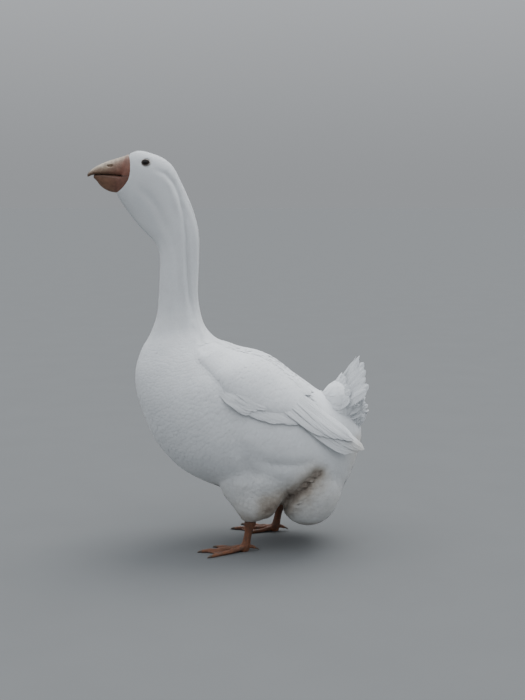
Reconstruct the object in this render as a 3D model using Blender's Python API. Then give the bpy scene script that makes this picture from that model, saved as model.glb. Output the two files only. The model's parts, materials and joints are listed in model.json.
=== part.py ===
"""A large white gander, life size, standing with its neck stretched up, parted into body regions.

It faces -X with +Z up. Its left side, at -Y, is the one the photograph shows.
"""

import math

import bmesh
import bpy
import numpy as np
from mathutils import Vector
from mathutils.bvhtree import BVHTree

# Gaps and mesh fineness
GAP = 0.0003
AROUND = 24
RINGS_PER_ROW = 1.5

# Body outline from the bill base over neck and back to the vent. Each row is a section:
# (under x, under z, top x, top z, half width, height of the widest part, keel, crown).
# Keel and crown are exponents: 1 is an ellipse, more is narrower, less is boxier.
BODY = (
    (-0.2388, 0.6913, -0.2120, 0.7660, 0.0170, 0.50, 0.90, 0.90),
    (-0.2280, 0.6720, -0.1930, 0.7724, 0.0235, 0.62, 1.10, 0.90),
    (-0.2135, 0.6505, -0.1680, 0.7668, 0.0275, 0.66, 1.25, 0.90),
    (-0.1985, 0.6310, -0.1460, 0.7575, 0.0290, 0.66, 1.25, 0.90),
    (-0.1840, 0.6150, -0.1280, 0.7420, 0.0290, 0.64, 1.20, 0.90),
    (-0.1700, 0.6020, -0.1135, 0.7150, 0.0285, 0.60, 1.15, 0.95),
    (-0.1600, 0.5870, -0.1000, 0.6860, 0.0285, 0.56, 1.05, 1.00),
    (-0.1555, 0.5700, -0.0870, 0.6510, 0.0295, 0.52, 1.00, 1.00),
    (-0.1555, 0.5450, -0.0785, 0.6100, 0.0310, 0.50, 1.00, 1.00),
    (-0.1570, 0.5150, -0.0785, 0.5600, 0.0325, 0.50, 1.00, 1.00),
    (-0.1590, 0.4850, -0.0810, 0.5080, 0.0340, 0.50, 1.00, 1.00),
    (-0.1635, 0.4520, -0.0790, 0.4720, 0.0380, 0.50, 1.00, 1.00),
    (-0.1760, 0.4180, -0.0705, 0.4380, 0.0480, 0.50, 0.95, 0.95),
    (-0.1930, 0.3880, -0.0535, 0.4145, 0.0660, 0.50, 0.90, 0.90),
    (-0.2045, 0.3500, -0.0270, 0.3970, 0.0880, 0.48, 0.85, 0.90),
    (-0.2030, 0.3080, 0.0040, 0.3815, 0.1060, 0.47, 0.85, 0.88),
    (-0.1900, 0.2650, 0.0350, 0.3765, 0.1190, 0.46, 0.85, 0.86),
    (-0.1670, 0.2120, 0.0640, 0.3655, 0.1270, 0.46, 0.85, 0.85),
    (-0.1220, 0.1580, 0.0900, 0.3490, 0.1300, 0.47, 0.85, 0.85),
    (-0.0600, 0.1240, 0.1130, 0.3330, 0.1290, 0.48, 0.85, 0.85),
    (0.0050, 0.1040, 0.1340, 0.3180, 0.1240, 0.48, 0.85, 0.85),
    (0.0700, 0.0870, 0.1520, 0.3060, 0.1160, 0.48, 0.85, 0.85),
    (0.1200, 0.0800, 0.1680, 0.2960, 0.1050, 0.48, 0.85, 0.85),
    (0.1640, 0.0860, 0.1830, 0.2900, 0.0920, 0.48, 0.88, 0.88),
    (0.1990, 0.1090, 0.1990, 0.2840, 0.0760, 0.50, 0.90, 0.90),
    (0.2180, 0.1420, 0.2150, 0.2750, 0.0580, 0.50, 0.95, 0.95),
    (0.2310, 0.1780, 0.2290, 0.2560, 0.0390, 0.50, 1.00, 1.00),
    (0.2375, 0.2040, 0.2365, 0.2400, 0.0200, 0.50, 1.00, 1.00),
)
HEAD_END, UPPER_NECK_END, LOWER_NECK_END = 6.5, 9.5, 12.5
BODY_END = len(BODY) - 1

# Two fat lobes that hang behind the legs
LOBE_AT = (0.133, 0.043, 0.128)
LOBE_SIZE = (0.066, 0.056, 0.080)

# Bill, in sections like the body's, from its base to its tip
BILL_UPPER = (
    (-0.2275, 0.7238, -0.2135, 0.7640, 0.0168, 0.25, 0.50, 1.10),
    (-0.2400, 0.7258, -0.2290, 0.7590, 0.0160, 0.20, 0.45, 1.20),
    (-0.2540, 0.7268, -0.2476, 0.7534, 0.0150, 0.20, 0.45, 1.25),
    (-0.2660, 0.7270, -0.2620, 0.7482, 0.0140, 0.22, 0.45, 1.20),
    (-0.2765, 0.7268, -0.2740, 0.7425, 0.0126, 0.25, 0.50, 1.10),
    (-0.2850, 0.7252, -0.2840, 0.7361, 0.0102, 0.30, 0.60, 1.00),
    (-0.2900, 0.7232, -0.2905, 0.7303, 0.0062, 0.40, 0.80, 1.00),
    (-0.2924, 0.7226, -0.2930, 0.7262, 0.0028, 0.50, 1.00, 1.00),
)
BILL_LOWER = (
    (-0.2388, 0.6920, -0.2278, 0.7228, 0.0152, 0.80, 1.10, 0.45),
    (-0.2500, 0.6940, -0.2400, 0.7247, 0.0142, 0.82, 1.10, 0.45),
    (-0.2605, 0.6990, -0.2540, 0.7257, 0.0130, 0.82, 1.10, 0.45),
    (-0.2690, 0.7060, -0.2660, 0.7259, 0.0118, 0.80, 1.10, 0.45),
    (-0.2750, 0.7140, -0.2740, 0.7256, 0.0102, 0.75, 1.00, 0.50),
    (-0.2805, 0.7195, -0.2800, 0.7246, 0.0070, 0.60, 1.00, 0.70),
)
NOSTRIL_AT = (-0.2475, 0.0125, 0.7425)
NOSTRIL_SIZE = (0.0052, 0.0060, 0.0019)

# Eyes and lids
EYE_AT = (-0.1775, 0.0185, 0.7480)
EYE_RADIUS = 0.0085
LID_SPREAD = (52.0, 43.0)
LID_RADIUS = 0.0014

# The surface that the wings lie on: polar round a line that sinks to the rear
AXIS_Z = 0.276
AXIS_SLOPE = -0.175
DRAPE_X = (-0.105, 0.262)
DRAPE_DEG = (4.0, 148.0)
DRAPE_STEPS = (62, 37)
DRAPE_SLOPE = ((50.0, 0.80), (80.0, 0.30))
DRAPE_CLEAR = 0.0008

# Wing core: (x, middle angle, half span, thickness) from the bend to the rear
WING_CORE = (
    (-0.078, 38.0, 6.0, 0.0020),
    (-0.056, 36.0, 18.0, 0.0050),
    (-0.030, 40.0, 27.0, 0.0080),
    (0.000, 46.0, 34.0, 0.0100),
    (0.040, 49.0, 35.0, 0.0095),
    (0.080, 52.0, 32.0, 0.0080),
    (0.115, 58.0, 24.0, 0.0055),
    (0.140, 66.0, 10.0, 0.0020),
)
WING_CORE_SUNK = 0.003
WING_CORE_ACROSS = 8

# Wing tiers: name, count, then root and tip as (x, degrees) of the uppermost and the lowest
# vane, the half width, the height over the surface, and the steps along and across a vane
WING_TIERS = (
    ("primary", 3, (0.100, 62), (0.092, 75), (0.238, 109), (0.212, 113), 0.0125, 0.0022, 3, 1),
    ("secondary", 5, (0.020, 60), (-0.022, 75), (0.142, 86), (0.058, 88), 0.0150, 0.0034, 3, 1),
    ("tertial", 6, (0.072, 33), (0.050, 62), (0.218, 98), (0.160, 95), 0.0145, 0.0056, 4, 1),
    ("covert", 5, (0.012, 41), (-0.038, 71), (0.098, 69), (0.018, 85), 0.0150, 0.0070, 3, 1),
    ("scapular", 4, (0.045, 12), (0.035, 36), (0.142, 33), (0.124, 62), 0.0150, 0.0084, 3, 1),
    ("shoulder", 4, (-0.020, 11), (-0.030, 38), (0.084, 22), (0.064, 54), 0.0155, 0.0094, 3, 1),
)
VANE_THICK = 0.0008
ROUND_FROM = 0.62
TIP_WIDTH = 0.25
SHINGLE = 0.08
ROOT_RISE = 0.28
DORSAL_FROM = (0.12, 0.90, 0.15)

# Tail
TAIL_ROOT = (0.166, 0.268)
TAIL_ELEVATION = 60.0
TAIL_DROP = 30.0
TAIL_YAW = 32.0
TAIL_ROOT_SPREAD = 0.028
TAIL_LAYER = 0.0011
TAIL_CORE = (
    (0.150, 0.285, 0.190, 0.215, 0.046),
    (0.163, 0.303, 0.213, 0.236, 0.050),
    (0.178, 0.317, 0.228, 0.260, 0.049),
    (0.190, 0.324, 0.232, 0.284, 0.040),
    (0.200, 0.326, 0.226, 0.302, 0.024),
)
# Tail tiers: name, count, length, half width, raise along the normal, turn of the elevation,
# and the steps along and across a vane
TAIL_TIERS = (
    ("rectrix", 12, 0.124, 0.0150, 0.000, 0.0, 3, 1),
    ("upper covert", 5, 0.078, 0.0170, 0.008, 1.0, 3, 1),
    ("lower covert", 6, 0.090, 0.0180, -0.010, -12.0, 3, 1),
    ("under covert", 5, 0.078, 0.0185, -0.021, -25.0, 3, 1),
    ("vent covert", 5, 0.068, 0.0190, -0.032, -38.0, 3, 1),
)

# Legs: the left one is forward. Rows run down: (x, y, z, radius along x, radius along y)
LEG_SHIFT = {"l": 0.0, "r": 0.060}
THIGH = (
    (0.036, 0.062, 0.190, 0.070, 0.050),
    (0.032, 0.066, 0.150, 0.074, 0.050),
    (0.028, 0.068, 0.120, 0.063, 0.040),
    (0.030, 0.070, 0.096, 0.056, 0.034),
    (0.029, 0.070, 0.077, 0.042, 0.027),
    (0.021, 0.070, 0.0620, 0.0160, 0.0135),
)
SHANK = (
    (0.020, 0.0700, 0.0617, 0.0100, 0.0088),
    (0.020, 0.0700, 0.0570, 0.0114, 0.0096),
    (0.019, 0.0700, 0.0500, 0.0100, 0.0080),
    (0.017, 0.0700, 0.0390, 0.0076, 0.0062),
    (0.014, 0.0700, 0.0250, 0.0075, 0.0063),
    (0.012, 0.0700, 0.0160, 0.0086, 0.0078),
)
ANKLE = (0.012, 0.0700)
ANKLE_TOP = 0.0157
# Toes: (angle outwards in degrees, length, root radius, knuckles)
TOES = ((-27.0, 0.062, 0.0052, 2), (0.0, 0.086, 0.0058, 3), (26.0, 0.078, 0.0054, 4))
HIND_TOE_LENGTH = 0.016
# Hind toe: (share of the length, height, radius) from its root to its claw
HIND_TOE = ((0.0, 0.0105, 0.0040), (0.62, 0.0095, 0.0036), (1.0, 0.0062, 0.0028), (1.44, 0.0035, 0.0008))
CLAW_LENGTH = 0.009
CLAW_RADII = (0.0026, 0.0020, 0.0005)
WEB_HEIGHT = (0.0014, 0.0030)
WEB_SCALLOP = 0.13
FOOT_TURN = 6.0

# Colours (linear) and roughness
LOOKS = {
    "plumage": ((0.74, 0.76, 0.77, 1.0), 0.80),
    "bill": ((0.42, 0.17, 0.07, 1.0), 0.45),
    "leg": ((0.52, 0.16, 0.05, 1.0), 0.55),
    "eye": ((0.015, 0.012, 0.012, 1.0), 0.05),
}


def clear_scene():
    for obj in list(bpy.data.objects):
        bpy.data.objects.remove(obj, do_unlink=True)


def material(name):
    """A Principled material of that look, made once."""
    if name in bpy.data.materials:
        return bpy.data.materials[name]
    color, roughness = LOOKS[name]
    made = bpy.data.materials.new(name)
    made.use_nodes = True
    made.diffuse_color = color
    shader = made.node_tree.nodes["Principled BSDF"]
    shader.inputs["Base Color"].default_value = color
    shader.inputs["Roughness"].default_value = roughness
    return made


def object_of(name, bm):
    """The bmesh as an object in the scene, with its faces turned outwards."""
    bmesh.ops.recalc_face_normals(bm, faces=bm.faces)
    mesh = bpy.data.meshes.new(name)
    bm.to_mesh(mesh)
    bm.free()
    obj = bpy.data.objects.new(name, mesh)
    bpy.context.collection.objects.link(obj)
    return obj


def bridged(rings):
    """A closed bmesh through rings of equally many points, with a flat cap at each end."""
    bm = bmesh.new()
    rows = [[bm.verts.new(point) for point in ring] for ring in rings]
    for first, second in zip(rows, rows[1:]):
        for i in range(len(first)):
            j = (i + 1) % len(first)
            bm.faces.new((first[i], first[j], second[j], second[i]))
    bm.faces.new(rows[0][::-1])
    bm.faces.new(rows[-1])
    bmesh.ops.triangulate(bm, faces=bm.faces)
    return bm


def smooth_row(rows, t):
    """The rows read at a fractional index, by a Catmull-Rom curve."""
    i = min(int(t), len(rows) - 2)
    f = t - i
    a, b, c, d = (np.array(rows[min(max(k, 0), len(rows) - 1)]) for k in range(i - 1, i + 3))
    bend, twist = 2 * a - 5 * b + 4 * c - d, 3 * b - a - 3 * c + d
    return 0.5 * (2 * b + (c - a) * f + bend * f**2 + twist * f**3)


def section(row, around=AROUND):
    """The closed section that a row describes, in world coordinates."""
    under, top = Vector((row[0], 0, row[1])), Vector((row[2], 0, row[3]))
    width, widest, keel, crown = row[4:]
    ring = []
    for i in range(around):
        angle = 2 * math.pi * i / around
        c, s = math.cos(angle), math.sin(angle)
        share = widest + (1 - widest if c > 0 else widest) * c
        y = math.copysign(width * abs(s) ** (crown if c > 0 else keel), s)
        ring.append(under.lerp(top, share) + Vector((0, y if abs(s) > 1e-6 else 0, 0)))
    return ring


def span(rows, start, end, per_row):
    """Fractional indices from start to end, about per_row of them to a row."""
    count = max(2, round((end - start) * per_row) + 1)
    return np.linspace(start, end, count)


def drawn_in(ring, neighbour, distance):
    """An end ring moved by that distance along the normal of its plane, towards its neighbour."""
    normal = (ring[0] - ring[len(ring) // 2]).cross(Vector((0, 1, 0))).normalized()
    if normal.dot(neighbour[0] + neighbour[len(ring) // 2] - ring[0] - ring[len(ring) // 2]) < 0:
        normal = -normal
    return [point + normal * distance for point in ring]


def lofted(rows, start, end, per_row=RINGS_PER_ROW, around=AROUND):
    """A length of the body or bill as a closed bmesh, half a gap short at each end."""
    rings = [section(smooth_row(rows, t), around) for t in span(rows, start, end, per_row)]
    rings[0] = drawn_in(rings[0], rings[1], GAP / 2)
    rings[-1] = drawn_in(rings[-1], rings[-2], GAP / 2)
    return bridged(rings)


def ellipsoid(name, at, size, segments=20, rings=12):
    bm = bmesh.new()
    bmesh.ops.create_uvsphere(bm, u_segments=segments, v_segments=rings, radius=1)
    for vert in bm.verts:
        vert.co = Vector([c + s * v for c, s, v in zip(at, size, vert.co)])
    return object_of(name, bm)


def limb(rows, side, per_row=2, around=14):
    """A mostly upright limb through level elliptic rings, as a closed bmesh."""
    rings = []
    for t in span(rows, 0, len(rows) - 1, per_row):
        x, y, z, along, across = smooth_row(rows, t)
        angles = [2 * math.pi * i / around for i in range(around)]
        rings.append(
            [Vector((x + along * math.cos(a), side * (y + across * math.sin(a)), z)) for a in angles]
        )
    return bridged(rings)


def tube(points, radii, around=6):
    """A round tube along the points, as a closed bmesh."""
    rings = []
    for i, point in enumerate(points):
        ahead = points[min(i + 1, len(points) - 1)] - points[max(i - 1, 0)]
        side = ahead.cross(Vector((0, 0, 1))).normalized()
        up = side.cross(ahead).normalized()
        angles = [2 * math.pi * k / around for k in range(around)]
        rings.append([point + (side * math.cos(a) + up * math.sin(a)) * radii[i] for a in angles])
    return bridged(rings)


def boolean(obj, other, operation, solver="EXACT"):
    """Applies a Boolean with an object, or with a list of objects, and removes these."""
    modifier = obj.modifiers.new(operation.lower(), "BOOLEAN")
    modifier.operation = operation
    modifier.solver = solver
    if isinstance(other, list):
        group = bpy.data.collections.new("joined")
        bpy.context.scene.collection.children.link(group)
        for piece in other:
            group.objects.link(piece)
        modifier.operand_type = "COLLECTION"
        modifier.collection = group
    else:
        modifier.object = other
    graph = bpy.context.evaluated_depsgraph_get()
    mesh = bpy.data.meshes.new_from_object(obj.evaluated_get(graph))
    obj.modifiers.clear()
    obj.data = mesh
    for piece in other if isinstance(other, list) else [other]:
        bpy.data.objects.remove(piece, do_unlink=True)
    if isinstance(other, list):
        bpy.data.collections.remove(group)
    return obj


def keep_largest(obj):
    """Drops every closed surface of the mesh but the one that holds most."""
    bm = bmesh.new()
    bm.from_mesh(obj.data)
    left, islands = set(bm.faces), []
    while left:
        stack = [left.pop()]
        island = list(stack)
        while stack:
            for edge in stack.pop().edges:
                for face in edge.link_faces:
                    if face in left:
                        left.remove(face)
                        stack.append(face)
                        island.append(face)
        islands.append(island)
    islands.sort(key=volume_of, reverse=True)
    loose = [face for island in islands[1:] for face in island]
    bmesh.ops.delete(bm, geom=loose, context="FACES")
    bm.to_mesh(obj.data)
    bm.free()
    return obj


def volume_of(faces):
    """The volume that these faces close, by cones from the origin."""
    total = 0.0
    for face in faces:
        corners = [vert.co for vert in face.verts]
        for second, third in zip(corners[1:], corners[2:]):
            total += corners[0].dot(second.cross(third)) / 6
    return abs(total)


def finish(obj, name, look):
    """Names the node, gives it its look and shades it smooth."""
    obj.name = name
    obj.data.name = name
    obj.data.materials.clear()
    obj.data.materials.append(material(look))
    obj.data.shade_smooth()
    obj.data.set_sharp_from_angle(angle=math.radians(40))
    return obj


def torso_solid(swell=0.0):
    """The trunk with its two fat lobes, swollen by that much to cut its neighbours clear."""
    trunk = object_of("trunk", lofted(BODY, LOWER_NECK_END, BODY_END))
    lobes = []
    for side in (-1, 1):
        at = (LOBE_AT[0], side * LOBE_AT[1], LOBE_AT[2])
        lobes.append(ellipsoid("lobe", at, LOBE_SIZE))
    boolean(trunk, lobes, "UNION")
    if swell:
        bm = bmesh.new()
        bm.from_mesh(trunk.data)
        bm.normal_update()
        for vert in bm.verts:
            vert.co += vert.normal * swell
        bm.to_mesh(trunk.data)
        bm.free()
    return trunk


def cut_clear(obj, solver="EXACT"):
    """Cuts the piece a gap away from the torso."""
    return keep_largest(boolean(obj, torso_solid(GAP), "DIFFERENCE", solver))


# The draped surface that the wings follow


def axis_z(x):
    return AXIS_Z + AXIS_SLOPE * x


class Drape:
    """Distance from the axis, over x and angle, that lies on the torso and runs on behind it."""

    def __init__(self, torso):
        bm = bmesh.new()
        bm.from_mesh(torso.data)
        tree = BVHTree.FromBMesh(bm)
        bm.free()
        self.xs = np.linspace(*DRAPE_X, DRAPE_STEPS[0])
        self.angles = np.radians(np.linspace(*DRAPE_DEG, DRAPE_STEPS[1]))
        hit = np.array([[self.torso_radius(tree, x, a) for a in self.angles] for x in self.xs])
        fall = np.interp(np.degrees(self.angles), *zip(*DRAPE_SLOPE)) * (self.xs[1] - self.xs[0])
        field = hit.copy()
        for i in range(1, len(self.xs)):
            field[i] = np.maximum(field[i], field[i - 1] - fall)
        for _ in range(6):
            field = np.maximum(self.blurred(field), hit)
        self.field = field + DRAPE_CLEAR

    @staticmethod
    def torso_radius(tree, x, angle):
        outward = Vector((0, -math.sin(angle), math.cos(angle)))
        centre = Vector((x, 0, axis_z(x)))
        spot = tree.ray_cast(centre + outward, -outward)[0]
        return 0.0 if spot is None else max(0.0, (spot - centre).dot(outward))

    @staticmethod
    def blurred(field):
        wide = np.pad(field, 1, mode="edge")
        rows = (wide[:-2] + 2 * wide[1:-1] + wide[2:]) / 4
        return (rows[:, :-2] + 2 * rows[:, 1:-1] + rows[:, 2:]) / 4

    def radius(self, x, angle):
        u = np.interp(x, self.xs, np.arange(len(self.xs)))
        v = np.interp(angle, self.angles, np.arange(len(self.angles)))
        i, j = min(int(u), len(self.xs) - 2), min(int(v), len(self.angles) - 2)
        cell = self.field[i : i + 2, j : j + 2]
        return float(np.array([1 - u + i, u - i]) @ cell @ np.array([1 - v + j, v - j]))

    def point(self, x, angle, height, side):
        r = self.radius(x, angle) + height
        return Vector((x, side * r * math.sin(angle), axis_z(x) + r * math.cos(angle)))

    def normal(self, x, angle, side):
        step = 0.008
        ahead = self.point(x + step, angle, 0, side) - self.point(x - step, angle, 0, side)
        round_ = self.point(x, angle + 0.06, 0, side) - self.point(x, angle - 0.06, 0, side)
        normal = ahead.cross(round_).normalized()
        outward = Vector((0, side * math.sin(angle), math.cos(angle)))
        return normal if normal.dot(outward) > 0 else -normal


# Vanes


def vane(place, along, across, thick):
    """A closed thin blade over place(s, c), both faces split into triangles alike."""
    bm = bmesh.new()
    faces = []
    for sign in (1, -1):
        rows = []
        for i in range(along + 1):
            s = i / along
            half = sign * 0.5 * thick * (1 - 0.45 * s)
            spots = [place(s, 2 * j / across - 1) for j in range(across + 1)]
            rows.append([bm.verts.new(point + normal * half) for point, normal in spots])
        faces.append(rows)
        for first, second in zip(rows, rows[1:]):
            for j in range(across):
                bm.faces.new((first[j], first[j + 1], second[j + 1]))
                bm.faces.new((first[j], second[j + 1], second[j]))
    rims = [[row[0] for row in rows] + rows[-1][1:] + [row[-1] for row in rows[-2::-1]]
            + rows[0][-2:0:-1] for rows in faces]
    upper, lower = rims
    for i in range(len(upper)):
        j = (i + 1) % len(upper)
        bm.faces.new((upper[i], upper[j], lower[j]))
        bm.faces.new((upper[i], lower[j], lower[i]))
    return bm


def breadth(s):
    """Share of a vane's half width along its length: narrow root, round tip."""
    tip = max(0.0, s - ROUND_FROM) / (1 - ROUND_FROM)
    return min(0.5 + 1.6 * s, TIP_WIDTH + (1 - TIP_WIDTH) * math.sqrt(1 - tip**2))


def eased(share):
    share = min(max(share, 0.0), 1.0)
    return share * share * (3 - 2 * share)


def wing_vane(drape, side, root, tip, half_width, height, mesh, seed):
    """One wing vane from root to tip, each (x, radians), rising out of the core."""
    bow = 0.05 * math.sin(2.4 * seed)

    def place(s, c):
        x = root[0] + (tip[0] - root[0]) * s
        angle = root[1] + (tip[1] - root[1]) * (s + bow * math.sin(math.pi * s))
        reach = drape.radius(x, angle)
        run = Vector((tip[0] - root[0], (tip[1] - root[1]) * reach)).normalized()
        offset = c * half_width * breadth(s)
        x, angle = x - run.y * offset, angle + run.x * offset / reach
        start, width, least = DORSAL_FROM
        dorsal = least + (1 - least) * eased((angle - start) / width)
        rise = eased(s / ROOT_RISE)
        lift = height * dorsal * rise - 0.0015 * (1 - rise) + SHINGLE * dorsal * offset
        return drape.point(x, angle, lift, side), drape.normal(x, angle, side)

    return vane(place, *mesh, VANE_THICK)


def wing(drape, side, name):
    """Core and tiers of vanes of one wing, cut clear of the torso."""
    rings = []
    for t in span(WING_CORE, 0, len(WING_CORE) - 1, 1.5):
        x, middle, half, thick = smooth_row(WING_CORE, t)
        rings.append(core_ring(drape, x, math.radians(middle), math.radians(half), thick, side))
    core = object_of(name, bridged(rings))
    vanes = []
    for tier, row in enumerate(WING_TIERS):
        _, count, root_a, root_b, tip_a, tip_b, half_width, height, *mesh = row
        for i in range(count):
            share = i / (count - 1)
            wobble = 0.003 * math.sin(5.1 * i + 1.7 * tier)
            root = polar(root_a, root_b, share, 0)
            tip = polar(tip_a, tip_b, share, wobble)
            bm = wing_vane(drape, side, root, tip, half_width, height, mesh, i + 3 * tier)
            vanes.append(object_of("vane", bm))
    boolean(core, vanes, "UNION", "MANIFOLD")
    return finish(cut_clear(core, "MANIFOLD"), name, "plumage")


def polar(first, last, share, wobble):
    """A place between two of (x, degrees), as (x, radians)."""
    x = first[0] + (last[0] - first[0]) * share + wobble
    return x, math.radians(first[1] + (last[1] - first[1]) * share)


def core_ring(drape, x, middle, half, thick, side):
    """A closed ring of the wing core: over the outside and back under it."""
    outer, inner = [], []
    for j in range(WING_CORE_ACROSS + 1):
        share = j / WING_CORE_ACROSS
        angle = middle - half + 2 * half * share
        bulge = thick * max(0.0, math.sin(math.pi * share)) ** 0.6 + 0.0004
        outer.append(drape.point(x, angle, bulge, side))
        inner.append(drape.point(x, angle, -WING_CORE_SUNK, side))
    return outer + inner[::-1]


def tail_heading(share, turned):
    """The way a feather points at that share of the fan: up in the middle, down at the sides."""
    lift = math.radians(TAIL_ELEVATION + turned - TAIL_DROP * share**2)
    yaw = math.radians(TAIL_YAW * share)
    return Vector((math.cos(lift) * math.cos(yaw), -math.cos(lift) * math.sin(yaw), math.sin(lift)))


def tail_vane(share, length, half_width, raised, turned, layer, mesh):
    """One vane of the tail fan, at share -1 (right) to 1 (left) of its spread."""
    ahead = tail_heading(share, turned)
    across = (tail_heading(share + 0.05, turned) - tail_heading(share - 0.05, turned)).normalized()
    normal = across.cross(ahead).normalized()
    root = Vector((TAIL_ROOT[0], -TAIL_ROOT_SPREAD * share, TAIL_ROOT[1]))
    root += normal * (raised - layer * TAIL_LAYER)

    def place(s, c):
        droop = 0.004 * s * s * (1 - 0.4 * share**2)
        offset = across * (c * half_width * breadth(s))
        return root + ahead * (length * s) + offset - normal * droop, normal

    return vane(place, *mesh, VANE_THICK)


def tail():
    """Rump stub with the fan and its coverts, cut clear of the torso."""
    rows = [(low_x, low_z, top_x, top_z, half, 0.5, 0.9, 0.9)
            for top_x, top_z, low_x, low_z, half in TAIL_CORE]
    core = object_of("tail", lofted(rows, 0, len(rows) - 1, 2, 16))
    vanes = []
    for _, count, length, half_width, raised, turned, *mesh in TAIL_TIERS:
        for i in range(count):
            share = 2 * i / (count - 1) - 1
            reach = length * (1 - 0.20 * share**2) + 0.002 * math.sin(4.3 * i)
            layer = abs(i - (count - 1) / 2)
            bm = tail_vane(share, reach, half_width, raised, turned, layer, mesh)
            vanes.append(object_of("vane", bm))
    boolean(core, vanes, "UNION")
    return finish(cut_clear(core), "tail", "plumage")


# Head


def lid_ring(side):
    """An almond of lid round the eye, lying on the eyeball."""
    outward = Vector((-0.18, side, 0.12)).normalized()
    back = Vector((1, 0, 0)).cross(outward).cross(outward).normalized()
    up = outward.cross(back).normalized()
    centre = Vector((EYE_AT[0], side * EYE_AT[1], EYE_AT[2]))
    steps, around = 16, 5
    bm = bmesh.new()
    rows = []
    for i in range(steps):
        turn = 2 * math.pi * i / steps
        wide = math.radians(LID_SPREAD[0] * math.cos(turn))
        high = math.radians(LID_SPREAD[1] * math.sin(turn))
        tilt = math.hypot(wide, high)
        aside = (back * wide + up * high) / tilt
        ray = outward * math.cos(tilt) + aside * math.sin(tilt)
        spot = centre + ray * (EYE_RADIUS + 0.0003)
        swing = aside * math.cos(tilt) - outward * math.sin(tilt)
        angles = [2 * math.pi * k / around for k in range(around)]
        ring = [spot + (ray * math.cos(a) + swing * math.sin(a)) * LID_RADIUS for a in angles]
        rows.append([bm.verts.new(p) for p in ring])
    for i in range(steps):
        for k in range(around):
            j, m = (i + 1) % steps, (k + 1) % around
            bm.faces.new((rows[i][k], rows[i][m], rows[j][m], rows[j][k]))
    return object_of("lid", bm)


def head():
    skull = object_of("head", lofted(BODY, 0, HEAD_END, 2))
    boolean(skull, [lid_ring(-1), lid_ring(1)], "UNION")
    for side in (-1, 1):
        at = (EYE_AT[0], side * EYE_AT[1], EYE_AT[2])
        socket = ellipsoid("socket", at, [EYE_RADIUS + GAP] * 3, 14, 9)
        boolean(skull, socket, "DIFFERENCE")
        name = "eye_l" if side < 0 else "eye_r"
        finish(ellipsoid(name, at, [EYE_RADIUS] * 3, 14, 9), name, "eye")
    return finish(keep_largest(skull), "head", "plumage")


def bill():
    upper = object_of("bill_upper", lofted(BILL_UPPER, 0, len(BILL_UPPER) - 1, 1.5, 16))
    for side in (-1, 1):
        at = (NOSTRIL_AT[0], side * NOSTRIL_AT[1], NOSTRIL_AT[2])
        boolean(upper, ellipsoid("nostril", at, NOSTRIL_SIZE, 8, 6), "DIFFERENCE")
    finish(keep_largest(upper), "bill_upper", "bill")
    lower = object_of("bill_lower", lofted(BILL_LOWER, 0, len(BILL_LOWER) - 1, 1.5, 16))
    finish(lower, "bill_lower", "bill")


def neck_and_torso():
    upper = object_of("neck_upper", lofted(BODY, HEAD_END, UPPER_NECK_END))
    finish(upper, "neck_upper", "plumage")
    lower = object_of("neck_lower", lofted(BODY, UPPER_NECK_END, LOWER_NECK_END))
    finish(lower, "neck_lower", "plumage")
    return finish(keep_largest(torso_solid()), "torso", "plumage")


# Legs


def shifted(rows, shift):
    return [(row[0] + shift, *row[1:]) for row in rows]


def toe_height(share, radius):
    return 0.0052 * (1 - share) ** 2 + 0.8 * radius


def toe(start, angle, length, radius, knuckles, side):
    """A toe with its claw, as two closed pieces."""
    steps = 2 * knuckles
    shares = [i / steps for i in range(steps + 1)]
    radii = [radius * (1 - 0.35 * f) * (1.0 if i % 2 else 0.84) for i, f in enumerate(shares)]
    heading = Vector((-math.cos(angle), side * math.sin(angle), 0))
    points = [start + heading * (length * f) + Vector((0, 0, toe_height(f, r)))
              for f, r in zip(shares, radii)]
    tip = points[-1]
    claw = [tip - heading * 0.003, tip + heading * CLAW_LENGTH * 0.5,
            tip + heading * CLAW_LENGTH + Vector((0, 0, -0.0022))]
    return [object_of("toe", tube(points, radii)), object_of("claw", tube(claw, CLAW_RADII))]


def web(start, turn, side):
    """The membrane between the toes, with a scalloped front edge."""
    steps = 4
    rays = []
    for (first, reach_a, *_), (second, reach_b, *_) in zip(TOES, TOES[1:]):
        for i in range(steps):
            f = i / steps
            reach = (reach_a + (reach_b - reach_a) * f) * (0.93 - WEB_SCALLOP * math.sin(math.pi * f))
            rays.append((first + (second - first) * f, reach))
    rays.append((TOES[-1][0], 0.93 * TOES[-1][1]))
    bm = bmesh.new()
    floors = []
    for height in WEB_HEIGHT:
        rows = []
        for degrees, reach in rays:
            angle = math.radians(degrees) + turn
            heading = Vector((-math.cos(angle), side * math.sin(angle), 0))
            rows.append([bm.verts.new(start + heading * r + Vector((0, 0, height + rise)))
                         for r, rise in ((0.004, 0.004), (0.5 * reach, 0.0006), (reach, 0.0))])
        floors.append(rows)
        for first, second in zip(rows, rows[1:]):
            for a in range(2):
                bm.faces.new((first[a], first[a + 1], second[a + 1]))
                bm.faces.new((first[a], second[a + 1], second[a]))
    rims = [[row[0] for row in rows] + rows[-1][1:] + [row[-1] for row in rows[-2::-1]] + rows[0][1:2]
            for rows in floors]
    lower, upper = rims
    for i in range(len(upper)):
        j = (i + 1) % len(upper)
        bm.faces.new((lower[i], lower[j], upper[j]))
        bm.faces.new((lower[i], upper[j], upper[i]))
    return object_of("web", bm)


def flat_cut(obj, height, keep_above=True):
    """Cuts the piece level at that height and closes it."""
    bm = bmesh.new()
    bm.from_mesh(obj.data)
    geom = bm.verts[:] + bm.edges[:] + bm.faces[:]
    cut = bmesh.ops.bisect_plane(
        bm, geom=geom, plane_co=(0, 0, height), plane_no=(0, 0, 1),
        clear_inner=keep_above, clear_outer=not keep_above,
    )
    edges = [e for e in cut["geom_cut"] if isinstance(e, bmesh.types.BMEdge)]
    bmesh.ops.contextual_create(bm, geom=edges)
    bm.to_mesh(obj.data)
    bm.free()


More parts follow.
